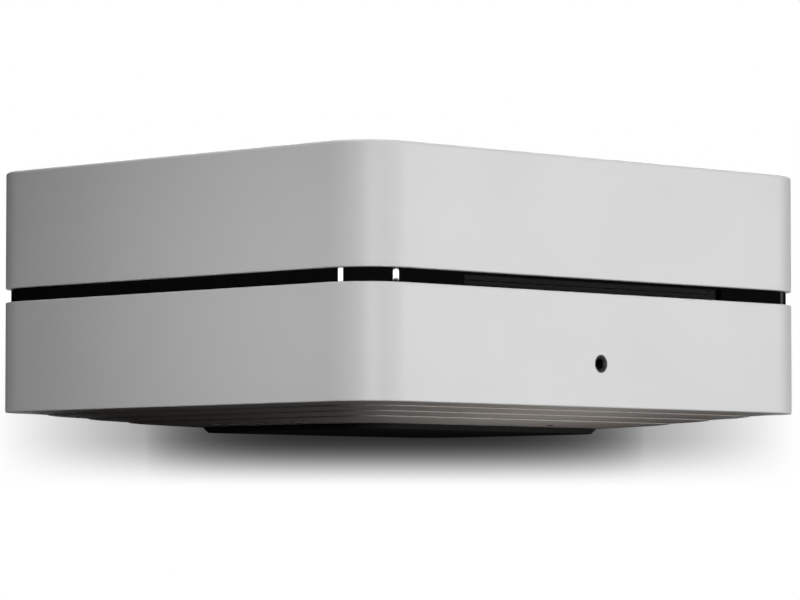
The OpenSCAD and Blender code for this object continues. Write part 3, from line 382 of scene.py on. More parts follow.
@dataclass
class Surface:
    """Points and faces of one piece, gathered from grids, strips and caps."""

    points: list[np.ndarray] = field(default_factory=list)
    faces: list[list[int]] = field(default_factory=list)
    count: int = 0

    def put(self, points: np.ndarray) -> np.ndarray:
        """Adds points.

        Args:
            points: Array whose last axis is X, Y and Z.

        Returns:
            The points' indices, in the same shape.
        """
        flat = points.reshape(-1, 3)
        ids = np.arange(self.count, self.count + len(flat)).reshape(points.shape[:-1])
        self.points.append(flat)
        self.count += len(flat)
        return ids

    def all_points(self) -> np.ndarray:
        """Gives every point so far."""
        return np.concatenate(self.points)

    def quads(self, ids: np.ndarray, ring: bool = True, loop: bool = False, gaps: Iterable[Gap] = ()) -> None:
        """Covers a grid of points with quads.

        Args:
            ids: Grid of point indices.
            ring: Whether the last column joins the first.
            loop: Whether the last row joins the first.
            gaps: Openings as first row, last row, first column and last column.
        """
        rows, columns = ids.shape
        keep = np.ones((rows if loop else rows - 1, columns if ring else columns - 1), bool)
        for first, last, left, right in gaps:
            keep[first:last, left:right] = False
        r, c = np.nonzero(keep)
        r2, c2 = (r + 1) % rows, (c + 1) % columns
        corners = np.stack([ids[r, c], ids[r, c2], ids[r2, c2], ids[r2, c]], 1)
        self.faces.extend(corners.tolist())

    def strip(self, first: np.ndarray, second: np.ndarray) -> None:
        """Joins two closed lines of points with quads."""
        self.quads(np.stack([first, second]))

    def cap(self, line: np.ndarray) -> None:
        """Closes a loop of points with one face."""
        self.faces.append(line.tolist())

    def closed(self, ids: np.ndarray, gaps: Iterable[Gap] = ()) -> None:
        """Covers a ring-shaped grid with quads and caps its first and last rows.

        Args:
            ids: Grid of point indices whose last column joins the first.
            gaps: Openings as first row, last row, first column and last column.
        """
        self.quads(ids, gaps=gaps)
        self.cap(ids[0])
        self.cap(ids[-1])

    def pierce(self, outer: np.ndarray, inner: np.ndarray) -> None:
        """Joins the edges of an opening in two facing skins with a straight reveal."""
        self.strip(rim_of(outer), rim_of(inner))

    def drill(self, outer: np.ndarray, inner: np.ndarray, radius: float, lead: float) -> None:
        """Fills an opening in two facing skins with a plate that has a round, chamfered hole.

        Each edge point's direction from the opening's middle gives its point on the circle.

        Args:
            outer: Block of grid indices of the outer skin's opening.
            inner: The same block on the inner skin.
            radius: Radius of the hole.
            lead: Size of the chamfer at the outer mouth.
        """
        known = self.all_points()
        loops = [rim_of(outer), rim_of(inner)]
        middles = [known[loop].mean(0) for loop in loops]
        rays = [known[loop] - middle for loop, middle in zip(loops, middles)]
        rays = [ray / np.linalg.norm(ray, axis=1)[:, None] for ray in rays]
        inward = (middles[1] - middles[0]) / np.linalg.norm(middles[1] - middles[0])
        rings = np.stack([
            middles[0] + rays[0] * (radius + 2 * lead),
            middles[0] + rays[0] * (radius + lead),
            middles[0] + rays[0] * radius + inward * lead,
            middles[0] + rays[0] * radius + inward * 2 * lead,
            middles[1] + rays[1] * radius,
            middles[1] + rays[1] * (radius + lead),
        ])
        ids = self.put(rings)
        self.quads(ids)
        self.strip(loops[0], ids[0])
        self.strip(ids[-1], loops[1])

    def turned(self, profile: np.ndarray, origin: Sequence[float], axis: Sequence[float], steps: int,
               closed: bool = True) -> None:
        """Adds a turned shape: a profile of radius and distance, carried round an axis.

        Args:
            profile: Array of radius and distance along the axis.
            origin: Point on the axis from which distances are measured.
            axis: Direction of the axis.
            steps: Columns round the axis.
            closed: Whether the profile is a closed loop. An open one has its ends capped.
        """
        along = np.array(axis, float) / np.linalg.norm(axis)
        helper = np.array((0.0, 0.0, 1.0)) if abs(along[2]) < 0.9 else np.array((1.0, 0.0, 0.0))
        across = np.cross(along, helper)
        across /= np.linalg.norm(across)
        third = np.cross(along, across)
        angle = np.linspace(0.0, 2 * math.pi, steps, endpoint=False)
        spoke = np.cos(angle)[:, None] * across + np.sin(angle)[:, None] * third
        grid = np.array(origin, float) + profile[:, None, :1] * spoke + profile[:, None, 1:] * along
        ids = self.put(grid)
        if closed:
            self.quads(ids, loop=True)
        else:
            self.closed(ids)

    def block(self, low: Sequence[float], high: Sequence[float], corner: float, profile: np.ndarray,
              axis: int) -> None:
        """Adds a block: an open profile carried round a rounded rectangle, with both its ends capped.

        Args:
            low: Lowest corner of the rectangle and its level.
            high: Highest corner.
            corner: Radius of the four corners that run along the axis.
            profile: Array of inset and place along the axis.
            axis: Axis square to the rectangle.
        """
        order = list({0: (1, 2, 0), 1: (2, 0, 1), 2: (0, 1, 2)}[axis])
        low_o, high_o = np.array(low, float)[order], np.array(high, float)[order]
        size, middle = high_o - low_o, (high_o + low_o) / 2
        middle[2] = 0.0
        radius = np.maximum(corner - profile[:, 0], corner * 0.02)
        track = Track(arc_steps=5, guard=corner * 0.1)
        grid = track.carry(size[0], size[1], radius, profile) + middle
        turned_back = np.empty_like(grid)
        turned_back[..., order] = grid
        self.closed(self.put(turned_back))

    def slab(self, low: Sequence[float], high: Sequence[float], corner: float, edge: float,
             axis: int) -> None:
        """Adds a block with rounded corners and eased edges.

        Args:
            low: Lowest corner.
            high: Highest corner.
            corner: Radius of the four corners that run along the axis.
            edge: Rounding of the edges at both ends.
            axis: Axis square to the rounded outline.
        """
        start, end = low[axis], high[axis]
        corners = ((corner, start, 0), (0, start, edge), (0, end, edge), (corner, end, 0))
        profile = eased(corners, False, 3, edge * 0.2)
        self.block(low, high, corner, profile, axis)

    def piece(self, name: str, finish: Finish, slot: str, stands_for: Sequence[str] = (),
              crease: float = 38.0) -> None:
        """Makes the mesh object on the case, with its faces turned outwards and its hard edges kept.

        Args:
            name: Name of the piece.
            finish: Finish of the piece.
            slot: Not used.
            stands_for: Frame nodes that the piece replaces.
            crease: Angle in degrees above which an edge stays hard.
        """
        mesh = bpy.data.meshes.new(name)
        mesh.from_pydata(self.all_points() * MM, [], self.faces)
        mend(mesh, MERGE)
        mesh.set_sharp_from_angle(angle=math.radians(crease))
        mesh.materials.append(finish.material())
        made = add_object(name, mesh)
        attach(made, CASE)
        if stands_for:
            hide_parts(*stands_for)
        LOG.info("%s: %d faces on %s", name, len(mesh.polygons), CASE)


@dataclass
class Track:
    """Columns of a rounded rectangle that every row of a carried profile shares.

    Each corner is an arc of even steps. Each straight side has a column close to both its ends, which
    keeps its shading flat, and a column at each stop.
    """

    stops: dict[Side, Sequence[float]] = field(default_factory=dict)
    arc_steps: int = 20
    guard: float = 0.3

    def __post_init__(self) -> None:
        """Lists the columns once: corner signs, arc direction, shift along the side and fixed place."""
        signs = ((1, 1), (-1, 1), (-1, -1), (1, -1))
        travel = ((-1, 0), (0, -1), (1, 0), (0, 1))
        listed: list[tuple[float, ...]] = []
        self.places: dict[tuple[Side, float], int] = {}
        for side in Side:
            k = side.value
            after = (k + 1) % 4
            for angle in np.radians(90.0 * k + np.linspace(0.0, 90.0, self.arc_steps + 1)):
                listed.append((*signs[k], math.cos(angle), math.sin(angle), 0.0, 0.0, np.nan, np.nan))
            end = math.radians(90.0 * after)
            turn = (round(math.cos(end)), round(math.sin(end)))
            ahead = (self.guard * travel[k][0], self.guard * travel[k][1])
            listed.append((*signs[k], *turn, *ahead, np.nan, np.nan))
            along_x = travel[k][0] != 0
            direction = travel[k][0] if along_x else travel[k][1]
            for stop in sorted(self.stops.get(side, ()), key=lambda value: value * direction):
                self.places[(side, round(stop, 4))] = len(listed)
                fixed = (stop, np.nan) if along_x else (np.nan, stop)
                listed.append((*signs[k], *turn, 0.0, 0.0, *fixed))
            listed.append((*signs[after], *turn, -ahead[0], -ahead[1], np.nan, np.nan))
        self.columns = np.array(listed).T

    def carry(self, width: float, depth: float, radius: np.ndarray, profile: np.ndarray) -> np.ndarray:
        """Carries a profile round the outline.

        A column's point is its corner's centre plus the corner radius along the arc's direction, plus
        the column's shift, and a stop's own coordinate replaces the one along its side.

        Args:
            width: Width of a row that has no inset.
            depth: Depth of a row that has no inset.
            radius: Corner radius of each row.
            profile: Array of each row's inset and height.

        Returns:
            Grid of points, rows by columns by three.
        """
        sx, sy, cos, sin, dx, dy, fixed_x, fixed_y = self.columns[:, None, :]
        inset, height, r = profile[:, :1], profile[:, 1:], radius[:, None]
        x = sx * ((width - 2 * inset) / 2 - r) + r * cos + dx
        y = sy * ((depth - 2 * inset) / 2 - r) + r * sin + dy
        x = np.where(np.isnan(fixed_x), x, fixed_x)
        y = np.where(np.isnan(fixed_y), y, fixed_y)
        return np.stack([x, y, np.broadcast_to(height, x.shape)], -1)

    def span(self, side: Side, start: float, end: float) -> tuple[int, int]:
        """Gives the columns of two stops on a side, in the order in which the outline runs."""
        found = sorted(self.places[(side, round(stop, 4))] for stop in (start, end))
        return found[0], found[1]


def eased(corners: Sequence[Triple], closed: bool, steps: int, guard: float = 0.06) -> np.ndarray:
    """Rounds the corners of a profile.

    At each corner with a radius r, the arc starts and ends r / tan(half the inner angle) from the corner, and
    one more point outside each end of the arc keeps the flat beside it flat.

    Args:
        corners: Corners as inset, height and rounding radius.
        closed: Whether the last corner joins the first.
        steps: Pieces of each arc.
        guard: Distance of the outer point from the arc.

    Returns:
        Array of inset and height.
    """
    given = np.array(corners, float)
    places, radii = given[:, :2], given[:, 2]
    before, after = np.roll(places, 1, 0) - places, np.roll(places, -1, 0) - places
    out: list[np.ndarray] = []
    last = len(places) - 1
    for k, (place, radius) in enumerate(zip(places, radii)):
        if radius <= 0 or (not closed and k in (0, last)):
            out.append(place[None])
            continue
        u = before[k] / np.linalg.norm(before[k])
        v = after[k] / np.linalg.norm(after[k])
        half = math.acos(np.clip(u @ v, -1.0, 1.0)) / 2
        reach = radius / math.tan(half)
        centre = place + (u + v) / np.linalg.norm(u + v) * radius / math.sin(half)
        start, end = place + u * reach - centre, place + v * reach - centre
        turn = math.pi - 2 * half
        share = np.linspace(0.0, 1.0, steps + 1)[:, None]
        arc = centre + (np.sin((1 - share) * turn) * start + np.sin(share * turn) * end) / math.sin(turn)
        out += [(place + u * (reach + guard))[None], arc, (place + v * (reach + guard))[None]]
    return np.concatenate(out)


def row_at(profile: np.ndarray, inset: float, z: float) -> int:
    """Gives the row of a profile that lies at an inset and a height."""
    return int(np.argmin(np.abs(profile[:, 0] - inset) + np.abs(profile[:, 1] - z)))


def rim_of(ids: np.ndarray) -> np.ndarray:
    """Gives the indices round the edge of a block of a grid, as one loop."""
    return np.concatenate([ids[0, :-1], ids[:-1, -1], ids[-1, :0:-1], ids[:0:-1, 0]])


@dataclass(frozen=True)
class Opening:
    """An opening through two facing skins of a grid: its first and last row on each, and its columns."""

    outer: tuple[int, int]
    inner: tuple[int, int]
    columns: tuple[int, int]

    @classmethod
    def through(cls, profile: np.ndarray, insets: Pair, levels: Sequence[float],
                columns: tuple[int, int]) -> "Opening":
        """Finds an opening through an upright wall.

        Args:
            profile: Array of inset and height, which runs up the outer skin and down the inner one.
            insets: Insets of the outer and the inner skin.
            levels: Lower and upper edge of the opening.
            columns: First and last column.

        Returns:
            The opening.
        """
        outer, inner = ([row_at(profile, inset, z) for z in levels] for inset in insets)
        return cls((outer[0], outer[1]), (inner[1], inner[0]), columns)

    def gaps(self) -> list[Gap]:
        """Gives the gaps that it leaves in the grid, one on each skin."""
        return [(*rows, *self.columns) for rows in (self.outer, self.inner)]

    def skins(self, ids: np.ndarray) -> tuple[np.ndarray, np.ndarray]:
        """Gives its blocks of a grid's indices on the outer and on the inner skin, facing each other."""
        wide = slice(self.columns[0], self.columns[1] + 1)
        return ids[self.outer[0]:self.outer[1] + 1, wide], ids[self.inner[0]:self.inner[1] + 1, wide][::-1]


@dataclass
class Casing:
    """The two pale shells, the gloss band between them and the felt lips of the disc slot."""

    corner: float = 18.0
    wall: float = 2.4
    soft_edge: float = 0.45
    top_edge: float = 1.0
    inner_edge: float = 0.2
    spigot: float = 3.0
    ledge: float = 1.2
    rim: float = 2.4
    band_in: float = 1.9
    band_back: float = 4.6
    socket_patch: float = 6.0
    socket_cells: int = 16
    socket_ring: float = 2.9
    socket_drop: float = 4.0
    clearance: float = 0.2
    lead: float = 0.12
    band_edge: float = 0.12
    post_inset: float = 11.5
    post_radii: Pair = (1.5, 4.0)
    least_corner: float = 2.0
    lip_gap: float = 0.15
    nap: float = 0.05
    nap_rows: int = 400
    nap_run: int = 9
    nap_share: float = 0.8
    nap_seed: int = 7

    def __post_init__(self) -> None:
        """Reads the levels and the outline's size from the frame."""
        low, high = box_mm("lower_shell")
        self.z_low, self.z_gap = low[2], high[2]
        self.z_up = box_mm("band_frame")[1][2] - self.spigot
        self.z_top = box_mm("upper_shell")[1][2]
        self.width, self.depth = high[0] - low[0], high[1] - low[1]

    def carried(self, track: Track, profile: np.ndarray) -> np.ndarray:
        """Carries a profile of inset and height round the body's outline."""
        radius = np.maximum(self.corner - profile[:, 0], self.least_corner)
        return track.carry(self.width, self.depth, radius, profile)

    def upper_shell(self) -> None:
        """Builds the upper shell: a wall, an eased top and the four screw posts inside."""
        middle = self.depth / 3
        ceiling = self.z_top - self.wall
        profile = eased((
            (middle, ceiling, 0),
            (self.wall, ceiling, self.top_edge),
            (self.wall, self.z_up, self.inner_edge),
            (0, self.z_up, self.soft_edge),
            (0, self.z_top, self.top_edge),
            (middle, self.z_top, 0)), False, 6)
        surface = Surface()
        surface.closed(surface.put(self.carried(Track(arc_steps=28), profile)))
        post_low = box_mm("upper_shell")[0][2]
        bore, radius = self.post_radii
        post = np.array(((bore, post_low), (radius, post_low), (radius, ceiling), (bore, ceiling)))
        post_x, post_y = self.width / 2 - self.post_inset, self.depth / 2 - self.post_inset
        for x in (-post_x, post_x):
            for y in (-post_y, post_y):
                surface.turned(post, (x, y, 0), (0, 0, 1), 32)
        surface.piece("pale_upper_shell", PALE_SHELL, "shell_satin", stands_for=["upper_shell"])

    def lower_shell(self) -> None:
        """Builds the lower shell: a ring with the round socket hole in front and the bay's window behind."""
        panel_low, panel_high = box_mm("rear_panel")
        window_x = panel_high[0] + self.clearance
        window_z = (panel_low[2] - self.clearance, panel_high[2] + self.clearance)
        socket_z = box_mm("headphone_jack")[1][2] - self.socket_drop
        cells = np.linspace(-self.socket_patch, self.socket_patch, self.socket_cells + 1)
        levels = sorted([*window_z, *(socket_z + cells)])
        z_rim = self.z_low + self.rim
        profile = eased((
            (0, self.z_low, self.soft_edge),
            *((0, z, 0) for z in levels),
            (0, self.z_gap, self.soft_edge),
            (self.wall, self.z_gap, self.inner_edge),
            *((self.wall, z, 0) for z in reversed(levels)),
            (self.wall, z_rim + self.ledge, 0),
            (self.wall + self.ledge, z_rim + self.ledge, self.inner_edge),
            (self.wall + self.ledge, z_rim, self.inner_edge),
            (self.wall, z_rim, 0),
            (self.wall, self.z_low, self.inner_edge)), True, 5)
        track = Track({Side.FRONT: tuple(cells), Side.REAR: (-window_x, window_x)}, arc_steps=28)
        surface = Surface()
        ids = surface.put(self.carried(track, profile))
        patch_z = (socket_z - self.socket_patch, socket_z + self.socket_patch)
        patch, window = (
            Opening.through(profile, (0, self.wall), edges, track.span(side, -x, x))
            for side, x, edges in ((Side.FRONT, self.socket_patch, patch_z), (Side.REAR, window_x, window_z)))
        surface.quads(ids, loop=True, gaps=[*patch.gaps(), *window.gaps()])
        surface.drill(*patch.skins(ids), radius=self.socket_ring + self.clearance / 2, lead=self.lead)
        surface.pierce(*window.skins(ids))
        surface.piece("pale_lower_shell", PALE_SHELL, "shell_satin", stands_for=["lower_shell"])

    def band(self) -> None:
        """Builds the gloss band: a ring with a spigot into each shell and the disc slot in its front."""
        lips_low, lips_high = box_mm("slot_lips")
        slot_x = -lips_low[0]
        back, step = self.band_back, self.wall + self.clearance
        edge = self.band_edge
        levels = (lips_low[2], lips_high[2])
        profile = eased((
            (step, self.z_gap - self.spigot, edge),
            (step, self.z_gap, 0),
            (self.band_in, self.z_gap, edge),
            *((self.band_in, z, 0) for z in levels),
            (self.band_in, self.z_up, edge),
            (step, self.z_up, 0),
            (step, self.z_up + self.spigot, edge),
            (back, self.z_up + self.spigot, edge),
            *((back, z, 0) for z in reversed(levels)),
            (back, self.z_gap - self.spigot, edge)), True, 3, 0.04)
        track = Track({Side.FRONT: (-slot_x, slot_x)}, arc_steps=32)
        columns = track.span(Side.FRONT, -slot_x, slot_x)
        slot = Opening.through(profile, (self.band_in, back), levels, columns)
        surface = Surface()
        ids = surface.put(self.carried(track, profile))
        surface.quads(ids, loop=True, gaps=slot.gaps())
        surface.pierce(*slot.skins(ids))
        surface.piece("gloss_band", GLOSS_BAND, "gloss_black", stands_for=["band_frame"])

    def lips(self) -> None:
        """Builds the felt lips: an eased section carried along X, with a nap that waves along its length."""
        low, high = box_mm("slot_lips")
        middle = (low[2] + high[2]) / 2
        gap, nap = self.lip_gap, self.nap
        half = (high[2] - low[2]) / 2 - nap
        length = np.linspace(low[0], high[0], self.nap_rows)
        kernel = np.hanning(self.nap_run) / np.hanning(self.nap_run).sum()
        surface = Surface()
        random = np.random.default_rng(self.nap_seed)
        for sign in (-1, 1):
            section = eased((
                (high[1] - nap, gap, 0.1), (low[1] + nap, gap, 0.45),
                (low[1] + nap, half, 0.25), (high[1] - nap, half, 0.1)), True, 4, 0.08)
            fuzz = random.normal(0.0, 1.0, (len(length), len(section)))
            fuzz = np.apply_along_axis(np.convolve, 0, fuzz, kernel, "same") * nap * self.nap_share
            out = section - section.mean(0)
            out /= np.linalg.norm(out, axis=1)[:, None]
            shape = section[None] + out[None] * np.clip(fuzz, -nap, nap)[..., None]
            x = np.broadcast_to(length[:, None], fuzz.shape)
            grid = np.stack([x, shape[..., 0], middle + sign * shape[..., 1]], -1)
            surface.closed(surface.put(grid))
        surface.piece("felt_lips", SLOT_FELT, "felt", stands_for=["slot_lips"], crease=60.0)


@dataclass
class Underside:
    """The stepped warm-grey base with its vents and release hole, and the rubber foot."""

    insets: tuple[float, ...] = (2.6, 11.5, 22.2, 32.9, 49.5)
    corners: tuple[float, ...] = (15.4, 15.0, 12.5, 10.0, 14.0)
    riser: float = 0.45
    edge: float = 0.05
    nose: float = 0.18
    ramp: Pair = (2.6, 0.2)
    ramp_round: float = 12.0
    pocket: float = 40.0
    pocket_rise: float = 2.2
    pocket_round: float = 0.2
    centre: float = 62.0
    centre_corner: float = 4.0
    foot_cover: float = 1.0
    vent_half: float = 1.1
    vent_pitch: float = 7.0
    vent_count: int = 7
    vent_rows: Pair = (41.0, 50.0)
    hole_patch: float = 3.0
    hole_cells: int = 8
    hole_radius: float = 1.3
    hole_lead: float = 0.1
    release: Pair = (22.4, -51.0)
    foot_lean: float = 1.6
    foot_lip: float = 0.25
    foot_corner: float = 13.0
    foot_least: float = 2.0
    foot_middle: float = 20.0

    def levels(self) -> list[Pair]:
        """Works out the risers, so that the treads slope evenly from the rim down to the foot.

        Returns:
            The heights of the top and bottom of the riser at each inset, from the rim inwards.
        """
        z_low = box_mm("lower_shell")[0][2]
        drop = z_low - box_mm("foot_pad")[1][2]
        risers = len(self.insets) - 2
        foot_in = self.insets[-1] + self.foot_cover
        slope = (drop - risers * self.riser) / (foot_in - self.insets[0])
        falls = [(inset - self.insets[0]) * slope for inset in self.insets]
        return [(z_low - fall - max(k - 1, 0) * self.riser, z_low - fall - k * self.riser)
                for k, fall in enumerate(falls)]

    def tread_z(self, inset: float, levels: list[Pair]) -> float:
        """Gives the height of the last tread at an inset."""
        return float(np.interp(inset, self.insets[-2:], (levels[-2][1], levels[-1][0])))

    def base(self, casing: Casing) -> None:
        """Builds the stepped base: treads and risers outside, a rim and a pocket inside.

        Args:
            casing: Shells whose outline the base follows.
        """
        levels = self.levels()
        z_top = casing.z_low + casing.rim
        z_pocket = box_mm("foot_pad")[1][2] + self.pocket_rise
        hole_inset = casing.depth / 2 + self.release[1]
        cells = np.linspace(-self.hole_patch, self.hole_patch, self.hole_cells + 1)
        marks = sorted([*self.vent_rows[:1], *(hole_inset + cells)])
        last_z = levels[-1][0]
        under = [(inset, self.tread_z(inset, levels), 0) for inset in marks]
        all_marks = sorted([*marks, self.insets[-1], self.vent_rows[1]], reverse=True)
        inner_marks = [(inset, z_pocket, 0) for inset in all_marks]
        steps: list[Triple] = []
        for k, (inset, (above, below)) in enumerate(zip(self.insets[1:-1], levels[1:-1])):
            run = self.ramp[0] / (self.insets[k + 2] - inset)
            end = below + (levels[k + 2][0] - below) * run
            steps += [(inset, above, self.edge), (inset, below + self.ramp[1], self.nose),
                      (inset + self.ramp[0], end, self.ramp_round)]
        profile = eased((
            (self.centre, z_pocket, 0),
            *inner_marks,
            (self.pocket, z_pocket, self.pocket_round),
            (self.pocket, z_top, self.pocket_round),
            (self.insets[0], z_top, self.pocket_round),
            (self.insets[0], levels[0][0], self.edge),
            *steps,
            *under,
            (self.insets[-1], last_z, 0),
            (self.vent_rows[1], last_z, 0),
            (self.centre, last_z, 0)), False, 3, 0.05)
        rows = [k * self.vent_pitch for k in range(-(self.vent_count // 2), self.vent_count // 2 + 1)]
        vents = [round(y + s * self.vent_half, 4) for y in rows for s in (-1, 1)]
        track = Track({Side.FRONT: tuple(self.release[0] + cells), Side.LEFT: vents, Side.RIGHT: vents})
        radius = np.interp(profile[:, 0], (*self.insets, self.centre), (*self.corners, self.centre_corner))
        surface = Surface()
        ids = surface.put(track.carry(casing.width, casing.depth, radius, profile))
        spans = [(track.span(side, y - self.vent_half, y + self.vent_half), self.vent_rows)
                 for side in (Side.LEFT, Side.RIGHT) for y in rows]
        reach = (hole_inset - self.hole_patch, hole_inset + self.hole_patch)
        hole = track.span(Side.FRONT, self.release[0] - self.hole_patch, self.release[0] + self.hole_patch)
        openings = []
        for columns, (near, far) in [*spans, (hole, reach)]:
            far_z = last_z if far > self.insets[-1] else self.tread_z(far, levels)
            outer = (row_at(profile, near, self.tread_z(near, levels)), row_at(profile, far, far_z))
            inner = (row_at(profile, far, z_pocket), row_at(profile, near, z_pocket))
            openings.append(Opening(outer, inner, columns))
        surface.closed(ids, [gap for opening in openings for gap in opening.gaps()])
        for vent in openings[:-1]:
            surface.pierce(*vent.skins(ids))
        surface.drill(*openings[-1].skins(ids), radius=self.hole_radius, lead=self.hole_lead)
        surface.piece("stepped_base", WARM_BASE, "warm_grey", stands_for=["base_pan"], crease=30.0)

    def foot(self) -> None:
        """Builds the rubber foot: a flat pad whose wall leans in towards the floor."""
        low, high = box_mm("foot_pad")
        size = high - low
        profile = eased((
            (self.foot_middle, low[2], 0), (self.foot_lean, low[2], 0.15), (0, high[2] - self.foot_lip, 0.1),
            (0, high[2], 0.05), (self.foot_middle, high[2], 0)), False, 3, 0.03)
        radius = np.maximum(self.foot_corner - profile[:, 0], self.foot_least)
        surface = Surface()
        surface.closed(surface.put(Track(arc_steps=16).carry(size[0], size[1], radius, profile)))
        surface.piece("rubber_foot", RUBBER, "rubber_black", stands_for=["foot_pad"], crease=50.0)


@dataclass
class Sockets:
    """The round 3.5 mm sockets, one at the front and two in the rear bay."""

    ring: float = 2.9
    bore: float = 1.85
    throat: float = 0.7
    face_width: float = 0.35
    deep: float = 14.0
    neck: float = 3.0
    wall: float = 0.4
    half: float = 4.0
    block_from: float = 2.6
    block_past: float = 2.0
    block_round: Pair = (0.4, 0.2)

    def plug_socket(self, surface: Surface, x: float, z: float, face: float, inward: int,
                    block: float) -> None:
        """Adds one 3.5 mm socket: a ring whose face slopes into the bore, and the block behind it.

        Args:
            surface: Surface that takes the socket.
            x: Place across the body.
            z: Height of the axis.
            face: Place of the ring's face along Y.
            inward: Direction along Y into the body, 1 or -1.
            block: Height of the block's underside.
        """
        profile = eased((
            (self.bore, self.deep, 0), (self.bore, self.throat, 0.15),
            (self.ring - self.face_width, 0, 0.12), (self.ring, 0, 0.12),
            (self.ring, self.neck, 0), (self.ring - self.wall, self.deep, 0)), True, 3, 0.03)
        surface.turned(profile, (x, face, z), (0, inward, 0), 64)
        ends = sorted((face + inward * self.block_from, face + inward * (self.deep + self.block_past)))
        clear = self.bore + self.wall
        for bottom, top in ((block, z - clear), (z + clear, z + self.half)):
            surface.slab((x - self.half, ends[0], bottom), (x + self.half, ends[1], top),
                         *self.block_round, 1)

    def front(self) -> None:
        """Builds the headphone socket."""
        low, high = box_mm("headphone_jack")
        surface = Surface()
        self.plug_socket(surface, (low[0] + high[0]) / 2, high[2] - self.half, low[1], 1, low[2])
        surface.piece("headphone_socket", SOCKET_RING, "dark_ring", stands_for=["headphone_jack"])

    def control(self) -> None:
        """Builds the two control sockets in the rear bay."""
        low, high = box_mm("control_jacks")
        surface = Surface()
        for x in (low[0] + self.half, high[0] - self.half):
            self.plug_socket(surface, x, high[2] - self.half, high[1], -1, low[2])
        surface.piece("control_sockets", SOCKET_RING, "dark_ring", stands_for=["control_jacks"])


